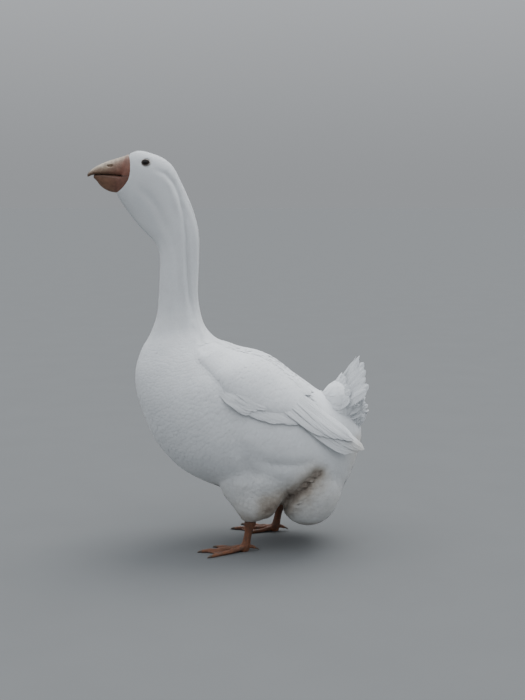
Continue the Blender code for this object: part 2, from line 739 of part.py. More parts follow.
def foot(side, shift, name):
    """Ankle, three toes with claws, hind toe and web, with flat soles at floor level."""
    start = Vector((ANKLE[0] + shift, side * ANKLE[1], 0))
    turn = math.radians(FOOT_TURN)
    ankle_rows = ((start.x, ANKLE[1], ANKLE_TOP, 0.0086, 0.0078),
                  (start.x - 0.002, ANKLE[1], 0.0100, 0.0096, 0.0088),
                  (start.x - 0.003, ANKLE[1], -0.0010, 0.0085, 0.0075))
    base = object_of(name, limb(ankle_rows, side))
    pieces = [web(start, turn, side)]
    for angle, length, radius, knuckles in TOES:
        pieces += toe(start, math.radians(angle) + turn, length, radius, knuckles, side)
    heel = [start + Vector((0.002 + HIND_TOE_LENGTH * share, 0, z)) for share, z, _ in HIND_TOE]
    pieces.append(object_of("hind", tube(heel, [radius for _, _, radius in HIND_TOE])))
    boolean(base, pieces, "UNION")
    flat_cut(base, 0.0)
    return finish(keep_largest(base), name, "leg")


def leg(side, letter):
    shift = LEG_SHIFT[letter]
    thigh = object_of("thigh", limb(shifted(THIGH, shift), side, 2, 16))
    finish(cut_clear(thigh), "thigh_" + letter, "plumage")
    shank = object_of("shank", limb(shifted(SHANK, shift), side, 2, 14))
    finish(shank, "shank_" + letter, "leg")
    foot(side, shift, "foot_" + letter)


def centre_on_floor():
    """Moves every mesh so that the whole stands with its bounding box centred on the origin."""
    corners = np.array([v.co[:] for obj in bpy.data.objects for v in obj.data.vertices])
    low, high = corners.min(axis=0), corners.max(axis=0)
    shift = Vector((-(low[0] + high[0]) / 2, -(low[1] + high[1]) / 2, -low[2]))
    for obj in bpy.data.objects:
        for vert in obj.data.vertices:
            vert.co += shift


def main():
    clear_scene()
    head()
    bill()
    torso = neck_and_torso()
    drape = Drape(torso)
    wing(drape, -1, "wing_l")
    wing(drape, 1, "wing_r")
    tail()
    leg(-1, "l")
    leg(1, "r")
    centre_on_floor()


main()
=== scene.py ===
"""A large white gander, life size: skin, plumage, bill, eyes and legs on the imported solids."""

import json
import math
from functools import partial
from itertools import product

import bpy
import numpy as np
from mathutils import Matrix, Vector
from mathutils.bvhtree import BVHTree
from mathutils.kdtree import KDTree

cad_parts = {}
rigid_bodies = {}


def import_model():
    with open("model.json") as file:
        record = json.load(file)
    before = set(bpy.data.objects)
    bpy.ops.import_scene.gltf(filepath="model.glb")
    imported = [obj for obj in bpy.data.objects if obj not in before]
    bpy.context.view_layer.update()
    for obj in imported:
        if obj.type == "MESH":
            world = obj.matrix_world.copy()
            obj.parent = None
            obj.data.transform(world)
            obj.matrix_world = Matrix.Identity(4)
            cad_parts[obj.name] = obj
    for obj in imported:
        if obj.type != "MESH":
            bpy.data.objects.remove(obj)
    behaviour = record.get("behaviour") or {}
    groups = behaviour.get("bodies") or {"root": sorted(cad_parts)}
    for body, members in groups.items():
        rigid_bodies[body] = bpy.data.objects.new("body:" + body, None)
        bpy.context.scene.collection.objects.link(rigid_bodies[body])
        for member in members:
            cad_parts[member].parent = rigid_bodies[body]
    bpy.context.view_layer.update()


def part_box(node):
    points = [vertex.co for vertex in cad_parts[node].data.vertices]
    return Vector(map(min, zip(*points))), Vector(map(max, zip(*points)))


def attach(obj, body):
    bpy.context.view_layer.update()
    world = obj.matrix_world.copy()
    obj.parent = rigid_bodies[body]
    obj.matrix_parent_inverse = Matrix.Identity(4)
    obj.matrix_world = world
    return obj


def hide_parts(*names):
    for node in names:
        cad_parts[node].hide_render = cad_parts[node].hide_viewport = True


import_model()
rng = np.random.default_rng(11)

# The goose's left and right side, as the sign of y and the letter in the names
SIDES = ((-1, "l"), (1, "r"))

# Body sections from the bill base over neck and back to the vent:
# (under x, under z, top x, top z, half width, height of the widest part, keel, crown)
BODY = (
    (-0.2388, 0.6913, -0.2120, 0.7660, 0.0170, 0.50, 0.90, 0.90),
    (-0.2280, 0.6720, -0.1930, 0.7724, 0.0235, 0.62, 1.10, 0.90),
    (-0.2135, 0.6505, -0.1680, 0.7668, 0.0275, 0.66, 1.25, 0.90),
    (-0.1985, 0.6310, -0.1460, 0.7575, 0.0290, 0.66, 1.25, 0.90),
    (-0.1840, 0.6150, -0.1280, 0.7420, 0.0290, 0.64, 1.20, 0.90),
    (-0.1700, 0.6020, -0.1135, 0.7150, 0.0285, 0.60, 1.15, 0.95),
    (-0.1600, 0.5870, -0.1000, 0.6860, 0.0285, 0.56, 1.05, 1.00),
    (-0.1555, 0.5700, -0.0870, 0.6510, 0.0295, 0.52, 1.00, 1.00),
    (-0.1555, 0.5450, -0.0785, 0.6100, 0.0310, 0.50, 1.00, 1.00),
    (-0.1570, 0.5150, -0.0785, 0.5600, 0.0325, 0.50, 1.00, 1.00),
    (-0.1590, 0.4850, -0.0810, 0.5080, 0.0340, 0.50, 1.00, 1.00),
    (-0.1635, 0.4520, -0.0790, 0.4720, 0.0380, 0.50, 1.00, 1.00),
    (-0.1760, 0.4180, -0.0705, 0.4380, 0.0480, 0.50, 0.95, 0.95),
    (-0.1930, 0.3880, -0.0535, 0.4145, 0.0660, 0.50, 0.90, 0.90),
    (-0.2045, 0.3500, -0.0270, 0.3970, 0.0880, 0.48, 0.85, 0.90),
    (-0.2030, 0.3080, 0.0040, 0.3815, 0.1060, 0.47, 0.85, 0.88),
    (-0.1900, 0.2650, 0.0350, 0.3765, 0.1190, 0.46, 0.85, 0.86),
    (-0.1670, 0.2120, 0.0640, 0.3655, 0.1270, 0.46, 0.85, 0.85),
    (-0.1220, 0.1580, 0.0900, 0.3490, 0.1300, 0.47, 0.85, 0.85),
    (-0.0600, 0.1240, 0.1130, 0.3330, 0.1290, 0.48, 0.85, 0.85),
    (0.0050, 0.1040, 0.1340, 0.3180, 0.1240, 0.48, 0.85, 0.85),
    (0.0700, 0.0870, 0.1520, 0.3060, 0.1160, 0.48, 0.85, 0.85),
    (0.1200, 0.0800, 0.1680, 0.2960, 0.1050, 0.48, 0.85, 0.85),
    (0.1640, 0.0860, 0.1830, 0.2900, 0.0920, 0.48, 0.88, 0.88),
    (0.1990, 0.1090, 0.1990, 0.2840, 0.0760, 0.50, 0.90, 0.90),
    (0.2180, 0.1420, 0.2150, 0.2750, 0.0580, 0.50, 0.95, 0.95),
    (0.2310, 0.1780, 0.2290, 0.2560, 0.0390, 0.50, 1.00, 1.00),
    (0.2375, 0.2040, 0.2365, 0.2400, 0.0200, 0.50, 1.00, 1.00),
)
LOBE_AT = (0.133, 0.043, 0.128)
LOBE_SIZE = (0.066, 0.056, 0.080)

# Bill sections, from its base to its tip
BILL_UPPER = (
    (-0.2275, 0.7238, -0.2135, 0.7640, 0.0168, 0.25, 0.50, 1.10),
    (-0.2400, 0.7258, -0.2290, 0.7590, 0.0160, 0.20, 0.45, 1.20),
    (-0.2540, 0.7268, -0.2476, 0.7534, 0.0150, 0.20, 0.45, 1.25),
    (-0.2660, 0.7270, -0.2620, 0.7482, 0.0140, 0.22, 0.45, 1.20),
    (-0.2765, 0.7268, -0.2740, 0.7425, 0.0126, 0.25, 0.50, 1.10),
    (-0.2850, 0.7252, -0.2840, 0.7361, 0.0102, 0.30, 0.60, 1.00),
    (-0.2900, 0.7232, -0.2905, 0.7303, 0.0062, 0.40, 0.80, 1.00),
    (-0.2924, 0.7226, -0.2930, 0.7262, 0.0028, 0.50, 1.00, 1.00),
)
BILL_LOWER = (
    (-0.2388, 0.6920, -0.2278, 0.7228, 0.0152, 0.80, 1.10, 0.45),
    (-0.2500, 0.6940, -0.2400, 0.7247, 0.0142, 0.82, 1.10, 0.45),
    (-0.2605, 0.6990, -0.2540, 0.7257, 0.0130, 0.82, 1.10, 0.45),
    (-0.2690, 0.7060, -0.2660, 0.7259, 0.0118, 0.80, 1.10, 0.45),
    (-0.2750, 0.7140, -0.2740, 0.7256, 0.0102, 0.75, 1.00, 0.50),
    (-0.2805, 0.7195, -0.2800, 0.7246, 0.0070, 0.60, 1.00, 0.70),
)
NOSTRIL_AT = (-0.2475, 0.0125, 0.7425)
NOSTRIL_SIZE = (0.0052, 0.0060, 0.0019)
# Where the plumage begins behind the bill, and the slanting front of the head, as (z, x)
MARGIN = ((0.6913, -0.2385), (0.6940, -0.2335), (0.6980, -0.2280), (0.7030, -0.2224), (0.7090, -0.2170),
          (0.7160, -0.2124), (0.7232, -0.2095), (0.7330, -0.2083), (0.7440, -0.2085), (0.7530, -0.2094),
          (0.7600, -0.2116), (0.7645, -0.2150))
HEAD_FRONT = ((0.6913, -0.2388), (0.7660, -0.2120))
MOUTH_Z = 0.7232
EYE_AT = (-0.1775, 0.0185, 0.7480)
EYE_RADIUS = 0.0085
# Opening of the lids from the axis of the eye, to the side and up, in degrees, and its flatness
LID_SPREAD = (53.0, 34.0)
LID_FLATTEN = 0.76
# Lid rings: turn back from the margin and height over the eyeball, then reach over the skin and height
LID_MARGIN = ((0.10, 0.0001), (0.02, 0.0004), (-0.02, 0.0011), (-0.09, 0.0015), (-0.17, 0.0013))
LID_SKIRT = ((0.0090, 0.0008), (0.0096, 0.0009), (0.0101, 0.0006), (0.0107, 0.0003), (0.0116, -0.0008))
# A plate of the bill's comb: the corners of its outer face, and its depth
COMB_PLATE = ((-0.0005, 0, 0.0008), (0.0005, 0, 0.0008), (0.0004, -0.0006, -0.0013),
              (-0.0004, -0.0006, -0.0013))
COMB_DEPTH = 0.0022
COMB_COUNT = 30

# Wings and tail, as the solids have them
AXIS_Z = 0.276
AXIS_SLOPE = -0.175
WING_CORE = (
    (-0.078, 38.0, 6.0, 0.0020),
    (-0.056, 36.0, 18.0, 0.0050),
    (-0.030, 40.0, 27.0, 0.0080),
    (0.000, 46.0, 34.0, 0.0100),
    (0.040, 49.0, 35.0, 0.0095),
    (0.080, 52.0, 32.0, 0.0080),
    (0.115, 58.0, 24.0, 0.0055),
    (0.140, 66.0, 10.0, 0.0020),
)
# Tiers of wing feathers: name, count, root and tip as (x, degrees) of the uppermost and the
# lowest, half width, height over the body
WING_TIERS = (
    ("primary", 8, (0.100, 62), (0.092, 75), (0.238, 109), (0.212, 113), 0.0095, 0.0022),
    ("secondary", 13, (0.020, 60), (-0.022, 75), (0.142, 86), (0.058, 88), 0.0110, 0.0034),
    ("tertial", 12, (0.072, 33), (0.050, 62), (0.218, 98), (0.160, 95), 0.0115, 0.0056),
    ("greater covert", 14, (0.012, 41), (-0.038, 71), (0.098, 69), (0.018, 85), 0.0105, 0.0068),
    ("scapular", 11, (0.045, 12), (0.035, 36), (0.142, 33), (0.124, 62), 0.0120, 0.0080),
    ("shoulder", 11, (-0.020, 11), (-0.030, 38), (0.084, 22), (0.064, 54), 0.0120, 0.0088),
)
# Tilt of each feather over the next, share of it that rises from the skin, and the angles over which
# the feathers come clear of the back: begin, width and least share
SHINGLE = 0.11
ROOT_RISE = 0.28
DORSAL_FROM = (0.16, 0.88, 0.04)
# Small coverts by place along the wing: from and to, spacing, length, half width and height
COVERTS_OVER = (-0.080, 0.098)
COVERT_SPACING = ((-0.08, 0.0038), (-0.02, 0.0052), (0.10, 0.0076))
COVERT_LENGTH = ((-0.08, 0.014), (-0.02, 0.020), (0.03, 0.026), (0.10, 0.034))
COVERT_HALF = ((-0.08, 0.0038), (-0.02, 0.0054), (0.03, 0.0068), (0.10, 0.0086))
COVERT_HEIGHT = ((-0.08, 0.0016), (-0.02, 0.0020), (0.10, 0.0024))
# Sideways slope of the coverts by degrees round the body, and fall of the drape behind the trunk
COVERT_SLOPE = ((8.0, 0.2), (40.0, 0.6), (75.0, 0.5))
DRAPE_SLOPE = ((50.0, 1.40), (66.0, 0.70), (84.0, 0.30))
TAIL_ROOT = (0.166, 0.268)
TAIL_ELEVATION = 60.0
TAIL_DROP = 30.0
TAIL_YAW = 32.0
TAIL_ROOT_SPREAD = 0.028
TAIL_LAYER = 0.0011
TAIL_CORE = (
    (0.190, 0.215, 0.150, 0.285, 0.046, 0.5, 0.9, 0.9),
    (0.213, 0.236, 0.163, 0.303, 0.050, 0.5, 0.9, 0.9),
    (0.228, 0.260, 0.178, 0.317, 0.049, 0.5, 0.9, 0.9),
    (0.232, 0.284, 0.190, 0.324, 0.040, 0.5, 0.9, 0.9),
    (0.226, 0.302, 0.200, 0.326, 0.024, 0.5, 0.9, 0.9),
)
# Tail tiers: name, count, length, half width, raise along the normal, turn of the elevation
TAIL_TIERS = (
    ("rectrix", 18, 0.124, 0.0125, 0.000, 0.0),
    ("upper covert", 13, 0.080, 0.0120, 0.008, 1.0),
    ("lower covert", 15, 0.090, 0.0120, -0.010, -12.0),
    ("soft lower covert", 14, 0.085, 0.0125, -0.0155, -18.5),
    ("under covert", 14, 0.080, 0.0130, -0.021, -25.0),
    ("soft under covert", 14, 0.079, 0.0132, -0.0265, -31.5),
    ("vent covert", 13, 0.078, 0.0135, -0.032, -38.0),
)

# Legs, in rows that run down: (x, y, z, radius along x, radius along y)
LEG_SHIFT = {-1: 0.0, 1: 0.060}
THIGH = (
    (0.036, 0.062, 0.190, 0.070, 0.050),
    (0.032, 0.066, 0.150, 0.074, 0.050),
    (0.028, 0.068, 0.120, 0.063, 0.040),
    (0.033, 0.070, 0.096, 0.052, 0.034),
    (0.033, 0.070, 0.077, 0.037, 0.027),
    (0.021, 0.070, 0.0620, 0.0160, 0.0135),
)
# Heights between which the thigh feathers lie, and their spacing by height
THIGH_COAT = (0.180, 0.0628)
THIGH_SPACING = ((0.062, 0.0019), (0.10, 0.0033), (0.19, 0.0043))
SHANK = (
    (0.021, 0.0700, 0.0720, 0.0090, 0.0080),
    (0.020, 0.0700, 0.0617, 0.0100, 0.0088),
    (0.020, 0.0700, 0.0570, 0.0114, 0.0096),
    (0.019, 0.0700, 0.0500, 0.0100, 0.0080),
    (0.017, 0.0700, 0.0390, 0.0076, 0.0062),
    (0.014, 0.0700, 0.0250, 0.0075, 0.0063),
    (0.012, 0.0700, 0.0160, 0.0086, 0.0078),
)
ANKLE = (0.012, 0.0700)
TOES = ((-27.0, 0.062, 0.0052, 2), (0.0, 0.086, 0.0058, 3), (26.0, 0.078, 0.0054, 4))
# Ankle rows over the middle of the foot, as (x, z, radius along x, along y), and the hind toe
ANKLE_ROWS = ((0.0, 0.0165, 0.0088, 0.0080), (-0.002, 0.0100, 0.0096, 0.0088),
              (-0.003, 0.0004, 0.0082, 0.0072))
HIND_TOE = ((0.002, 0, 0.0105), (0.008, 0, 0.0102), (0.013, 0, 0.0092), (0.018, 0, 0.0068))
HIND_RADII = (0.0042, 0.0038, 0.0033, 0.0024)
SCUTE_STEP = 0.0034
TOE_RIDGE_STEP = 0.0024
CLAW_LENGTH = 0.009
FOOT_TURN = 6.0

# Mesh sizes of skin and feet, the bare ring round the eye, the cells in which skin counts as
# bare, and the number of feathers on a fat lobe
SKIN_VOXEL = 0.0024
FOOT_VOXEL = 0.0008
EYE_BARE = 0.0096
BARE_CELL = 0.0048
LOBE_FEATHERS = 4600
# Most that a feather's place may lie off the form that it was laid out on
OFF_FORM = 0.010
OFF_THIGH = 0.0075
# Creases in the side view: width and ridge beside them, then (x, z, depth) along them, in mm
# for width and depth
CREASES = (
    (4.6, 0.30, ((-0.1564, 0.7344, 0.8), (-0.1394, 0.7269, 2.4), (-0.1244, 0.7099, 3.8),
                 (-0.1132, 0.6854, 4.6), (-0.1059, 0.6495, 5.0), (-0.1006, 0.6019, 5.0),
                 (-0.0991, 0.5445, 4.6), (-0.0957, 0.4944, 3.4), (-0.0883, 0.4518, 1.2))),
    (7.5, 0.15, ((-0.1967, 0.7043, 0.5), (-0.1741, 0.6854, 1.6), (-0.1554, 0.6589, 1.8),
                 (-0.1425, 0.6210, 1.0), (-0.1371, 0.5828, 0.0))),
    (5.0, 0.20, ((-0.0784, 0.4409, 0.0), (-0.0747, 0.4180, 3.0), (-0.0692, 0.3950, 2.0),
                 (-0.0636, 0.3681, 0.0))),
    (5.0, 0.20, ((-0.0624, 0.4129, 0.0), (-0.0588, 0.3863, 2.5), (-0.0533, 0.3596, 0.0))),
    (15.0, 0.0, ((-0.0080, 0.2523, 0.0), (0.0120, 0.2027, 4.5), (0.0230, 0.1567, 6.0),
                 (0.0200, 0.1181, 2.0), (0.0150, 0.0991, 0.0))),
    (11.0, 0.1, ((0.0205, 0.2060, 0.0), (0.0580, 0.1830, 3.5), (0.1090, 0.1790, 3.5),
                 (0.1520, 0.1890, 0.0))),
)
# The groove between thigh and lobe, as a crease
GROOVE = (7.0, 0.10, ((0.1729, 0.1820, 0.0), (0.1501, 0.1605, 7.0), (0.1215, 0.1330, 9.0),
                      (0.0929, 0.1075, 9.0), (0.0776, 0.0839, 8.0), (0.0661, 0.0601, 5.0)))

# Coat by place on the body, as (row, feather length, half width, spacing) in mm
COAT = (
    (0.0, 3.4, 0.62, 1.05),
    (1.0, 4.2, 0.68, 1.15),
    (3.0, 5.6, 0.88, 1.40),
    (5.0, 7.5, 1.15, 1.80),
    (7.0, 10.0, 1.50, 2.20),
    (10.0, 12.5, 2.00, 2.75),
    (12.5, 16.0, 3.40, 3.80),
    (15.0, 21.0, 5.40, 5.20),
    (18.0, 24.0, 6.40, 6.00),
    (27.0, 24.0, 6.40, 6.00),
)
# Depth of the coat over the skin, as (row, mm)
COAT_DEPTH = ((0.0, 0.6), (2.0, 0.8), (6.0, 1.3), (10.0, 1.7), (14.0, 2.2), (27.0, 2.3))

# The camera: where the middle of the picture falls on the bird, its height, distance and tilt
CAMERA_X = 0.044
CAMERA_HEIGHT = 0.687
CAMERA_DISTANCE = 2.27
CAMERA_PITCH = 7.56
CAMERA_LENS = 60.0

# Bill colours from the edge of the mouth to the ridge or the keel, as (place, colour)
# the pale end at the upper bill's ridge is dust together with a painted highlight
SHEATH_STOPS = ((0.0, "#8C7055"), (0.14, "#6A4E39"), (0.45, "#6C4F3C"), (0.72, "#8D7A66"), (0.95, "#B4A895"))
JAW_STOPS = ((0.0, "#4E382A"), (0.25, "#674938"), (0.6, "#77543F"), (1.0, "#86624B"))

# Light: the dome at the horizon and overhead, its tint, and the lamp's strength, width and place
DOME_LEVELS = (0.341, 2.7)
DOME_TINT = (0.95, 0.985, 1.03)
LAMP_STRENGTH = 1.9
LAMP_DEGREES = 40
LAMP_FROM = (0.30, 0.42, 1.0)
FLOOR_REACH = 60


# Places


def mirrored(at, side):
    """A place of the tables on one side."""
    return np.array((at[0], side * at[1], at[2]))


def own_shift():
    """How far the solids were moved from the frame that the tables above are in."""
    low, high = (np.array(corner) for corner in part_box("eye_l"))
    return (low + high) / 2 - mirrored(EYE_AT, -1)


SHIFT = own_shift()


def unit(vectors):
    return vectors / np.maximum(np.linalg.norm(vectors, axis=-1, keepdims=True), 1e-9)


def curve(x, table):
    """A table of (x, value) read at x."""
    return np.interp(x, *zip(*table))


def drawn(count, *ranges):
    """Random sizes, as an array for each range."""
    return [rng.uniform(low, high, count) for low, high in ranges]


def read_rows(rows, t):
    """The rows read at fractional indices, by a Catmull-Rom curve."""
    table = np.array(rows, dtype=float)
    i = np.clip(np.asarray(t).astype(int), 0, len(rows) - 2)
    f = (np.asarray(t) - i)[..., None]
    a, b, c, d = (table[np.clip(i + k, 0, len(rows) - 1)] for k in (-1, 0, 1, 2))
    return 0.5 * (2 * b + (c - a) * f + (2 * a - 5 * b + 4 * c - d) * f**2 + (3 * b - a - 3 * c + d) * f**3)


def body_point(rows, t, angle):
    """Points on the lofted form at rows t and angles, 0 on top and pi/2 on the right side."""
    t, angle = np.broadcast_arrays(t, angle)
    under_x, under_z, top_x, top_z, width, widest, keel, crown = np.moveaxis(read_rows(rows, t), -1, 0)
    c, s = np.cos(angle), np.sin(angle)
    share = widest + np.where(c > 0, 1 - widest, widest) * c
    y = width * np.sign(s) * np.abs(s) ** np.where(c > 0, crown, keel)
    x = under_x + (top_x - under_x) * share
    z = under_z + (top_z - under_z) * share
    return np.stack((x, y, z), axis=-1)


def limb_point(rows, t, angle, side, shift):
    """Points on a limb at rows t and angles, 0 to the rear and pi/2 outward."""
    t, angle = np.broadcast_arrays(t, angle)
    x, y, z, along, across = np.moveaxis(read_rows(rows, t), -1, 0)
    return np.stack((x + shift + along * np.cos(angle), side * (y + across * np.sin(angle)), z), axis=-1)


def run_along(points):
    """Distance along a line of points from its start."""
    return np.concatenate(([0], np.cumsum(np.linalg.norm(np.diff(points, axis=0), axis=1))))


def turn(count, start=0.0):
    return start + np.linspace(0, 2 * math.pi, count, endpoint=False)


# Meshes


def grid_faces(rows, columns, closed):
    """Four-sided faces over rows of points, the columns closed to a ring or open."""
    i = np.arange(rows - 1)[:, None]
    j = np.arange(columns if closed else columns - 1)[None, :]
    k = (j + 1) % columns
    first, second = i * columns, (i + 1) * columns
    return np.stack((first + j, first + k, second + k, second + j), -1).reshape(-1, 4)


def mesh_object(name, points, faces, caps=()):
    """An object from points in the tables' frame, faces of four and any caps."""
    mesh = bpy.data.meshes.new(name)
    corners = [list(face) for face in np.asarray(faces).tolist()] + [list(cap) for cap in caps]
    mesh.from_pydata((np.asarray(points).reshape(-1, 3) + SHIFT).tolist(), [], corners)
    mesh.update()
    mesh.shade_smooth()
    return placed(name, mesh)


def placed(name, data):
    """A new object in the scene."""
    made = bpy.data.objects.new(name, data)
    bpy.context.collection.objects.link(made)
    return made


def quad_object(name, points, faces):
    """The same from many points and four-sided faces, filled in bulk."""
    mesh = bpy.data.meshes.new(name)
    mesh.vertices.add(len(points))
    mesh.vertices.foreach_set("co", (points + SHIFT).ravel())
    mesh.loops.add(faces.size)
    mesh.loops.foreach_set("vertex_index", faces.ravel())
    mesh.polygons.add(len(faces))
    mesh.polygons.foreach_set("loop_start", np.arange(len(faces)) * 4)
    mesh.update(calc_edges=True)
    mesh.shade_smooth()
    return placed(name, mesh)


def corners_of(mesh):
    """The point at each face corner of a mesh."""
    found = np.empty(len(mesh.loops), dtype=np.int32)
    mesh.loops.foreach_get("vertex_index", found)
    return found


def add_map(made, name, places):
    """A UV map that gives each point one place."""
    mesh = made.data
    mesh.uv_layers.new(name=name).data.foreach_set("uv", places[corners_of(mesh)].ravel())


def add_value(made, name, values):
    made.data.attributes.new(name, "FLOAT", "POINT").data.foreach_set("value", values)


def tube_grid(rings):
    """A closed object's points, faces and caps from rings of equally many points."""
    rings = np.asarray(rings)
    rows, around = rings.shape[:2]
    caps = (list(range(around))[::-1], list(range((rows - 1) * around, rows * around)))
    return rings.reshape(-1, 3), grid_faces(rows, around, True), caps


def remeshed(pieces, voxel):
    """The pieces joined and remade as one closed mesh of even small faces."""
    objects = [mesh_object("part", *piece) for piece in pieces]
    for other in bpy.data.objects:
        other.select_set(False)
    for made in objects:
        made.select_set(True)
    bpy.context.view_layer.objects.active = objects[0]
    bpy.ops.object.join()
    whole = bpy.context.view_layer.objects.active
    modifier = whole.modifiers.new("even faces", "REMESH")
    modifier.mode = "VOXEL"
    modifier.voxel_size = voxel
    mesh = bpy.data.meshes.new_from_object(whole.evaluated_get(bpy.context.evaluated_depsgraph_get()))
    bpy.data.objects.remove(whole, do_unlink=True)
    points = np.empty(len(mesh.vertices) * 3)
    mesh.vertices.foreach_get("co", points)
    faces = corners_of(mesh).reshape(-1, 4)
    bpy.data.meshes.remove(mesh)
    return points.reshape(-1, 3) - SHIFT, faces


def relaxed(points, faces, times, weight):
    """The points moved towards the mean of their neighbours, with a weight for each."""
    a = faces.ravel()
    b = np.roll(faces, -1, axis=1).ravel()
    count = np.bincount(a, minlength=len(points))[:, None]
    for _ in range(times):
        sums = [np.bincount(a, weights=points[b, k], minlength=len(points)) for k in range(3)]
        mean = np.stack(sums, -1) / count
        points = points + np.asarray(weight).reshape(-1, 1) * (mean - points)
    return points


def point_normals(points, faces):
    a, b, c, d = (points[faces[:, k]] for k in range(4))
    across = np.cross(c - a, d - b)
    total = np.zeros_like(points)
    for k in range(4):
        for axis in range(3):
            total[:, axis] += np.bincount(faces[:, k], weights=across[:, axis], minlength=len(points))
    return unit(total)


class Ground:
    """A surface that things are set on."""

    def __init__(self, points, faces):
        self.points, self.faces = points, faces
        normals = point_normals(points, faces)
        self.normals = unit(relaxed(normals, faces, 3, 1.0))
        self.tree = BVHTree.FromPolygons(points.tolist(), faces.tolist())
        self.taken = []

    def nearest(self, spots):
        """The closest points of the surface and the smooth normals there."""
        found = [self.tree.find_nearest(Vector(spot)) for spot in spots]
        where = np.array([hit[0] for hit in found])
        normal = self.normals[self.faces[[hit[2] for hit in found]]].mean(axis=1)
        return where, unit(normal)

    def outermost(self, spots, outward, reach):
        """Where rays from outside, back along outward, first meet the surface, and which do."""
        where, seen = np.array(spots), np.zeros(len(spots), dtype=bool)
        for i, (spot, way) in enumerate(zip(spots, outward)):
            hit = self.tree.ray_cast(Vector(spot + way * reach), Vector(-way), 2 * reach)[0]
            if hit is not None:
                where[i] = hit
                seen[i] = True
        return where, seen


# The surface that the folded wings follow


class Drape:
    """Distance from a sloping axis, over x and angle, lying on the trunk and running on behind."""

    def __init__(self, tree):
        self.xs = np.linspace(-0.105, 0.262, 62)
        self.angles = np.radians(np.linspace(4, 148, 37))
        hit = np.array([[self.trunk_radius(tree, x, a) for a in self.angles] for x in self.xs])
        step = self.xs[1] - self.xs[0]
        fall = curve(np.degrees(self.angles), DRAPE_SLOPE) * step
        field = hit.copy()
        for i in range(1, len(self.xs)):
            field[i] = np.maximum(field[i], field[i - 1] - fall)
        for _ in range(6):
            wide = np.pad(field, 1, mode="edge")
            rows = (wide[:-2] + 2 * wide[1:-1] + wide[2:]) / 4
            field = np.maximum((rows[:, :-2] + 2 * rows[:, 1:-1] + rows[:, 2:]) / 4, hit)
        self.field = field + 0.0008

    @staticmethod
    def trunk_radius(tree, x, angle):
        outward = Vector((0, -math.sin(angle), math.cos(angle)))
        centre = Vector((x, 0, AXIS_Z + AXIS_SLOPE * x))
        spot = tree.ray_cast(centre + outward, -outward)[0]
        return 0.0 if spot is None else max(0.0, (spot - centre).dot(outward))

    def radius(self, x, angle):
        u = np.interp(x, self.xs, np.arange(len(self.xs)))
        v = np.interp(angle, self.angles, np.arange(len(self.angles)))
        i = np.minimum(u.astype(int), len(self.xs) - 2)
        j = np.minimum(v.astype(int), len(self.angles) - 2)
        u, v = u - i, v - j
        near = self.field[i, j] * (1 - v) + self.field[i, j + 1] * v
        far = self.field[i + 1, j] * (1 - v) + self.field[i + 1, j + 1] * v
        return near * (1 - u) + far * u

    def point(self, x, angle, height, side):
        x, angle, height = np.broadcast_arrays(x, angle, height)
        r = self.radius(x, angle) + height
        return np.stack((x, side * r * np.sin(angle), AXIS_Z + AXIS_SLOPE * x + r * np.cos(angle)), -1)

    def normal(self, x, angle, side):
        x, angle = np.broadcast_arrays(x, angle)
        ahead = self.point(x + 0.008, angle, 0, side) - self.point(x - 0.008, angle, 0, side)
        aside = self.point(x, angle + 0.06, 0, side) - self.point(x, angle - 0.06, 0, side)
        normal = unit(np.cross(ahead, aside))
        outward = np.stack((0 * x, side * np.sin(angle), np.cos(angle)), -1)
        return normal * np.sign((normal * outward).sum(-1, keepdims=True))

    def place(self, spots):
        """x and angle of points."""
        return spots[:, 0], np.arctan2(np.abs(spots[:, 1]), spots[:, 2] - AXIS_Z - AXIS_SLOPE * spots[:, 0])


# The skin


def eased(share):
    share = np.clip(share, 0, 1)
    return share * share * (3 - 2 * share)


def lofted(rows, per_row, around):
    ts = np.linspace(0, len(rows) - 1, round((len(rows) - 1) * per_row) + 1)
    return tube_grid(body_point(rows, ts[:, None], turn(around)[None, :]))


def ball(at, size):
    lift = np.linspace(0.02, math.pi - 0.02, 20)[:, None]
    way = turn(40)[None, :]
    rings = np.stack((np.sin(lift) * np.cos(way), np.sin(lift) * np.sin(way), np.cos(lift) + 0 * way), -1)
    return tube_grid(at + np.array(size) * rings)


def trunk_tree():
    """Trunk and fat lobes alone, for the drape."""
    ts = np.linspace(12.5, len(BODY) - 1, 96)[:, None]
    pieces = [tube_grid(body_point(BODY, ts, turn(72)[None, :]))]
    pieces += [ball(mirrored(LOBE_AT, side), LOBE_SIZE) for side, _ in SIDES]
    points, faces, first = [], [], 0
    for piece_points, piece_faces, caps in pieces:
        points += piece_points.tolist()
        faces += (piece_faces + first).tolist() + [[first + k for k in cap] for cap in caps]
        first = len(points)
    return BVHTree.FromPolygons(points, faces)


def wing_core(drape, side):
    """The body of a folded wing under its feathers, as a lens on the drape."""
    ts = np.linspace(0, len(WING_CORE) - 1, 60)
    x, middle, half, thick = (column[:, None] for column in read_rows(WING_CORE, ts).T)
    share = np.linspace(0, 1, 41)[None, :]
    angle = np.radians(middle - half + 2 * half * share)
    bulge = np.maximum(thick, 0.0) * np.maximum(np.sin(math.pi * share), 0.0) ** 0.6 + 0.0002
    outer = drape.point(x + 0 * share, angle, bulge, side)
    inner = drape.point(x + 0 * share, angle, -0.003, side)
    return tube_grid(np.concatenate((outer, inner[:, ::-1]), axis=1))


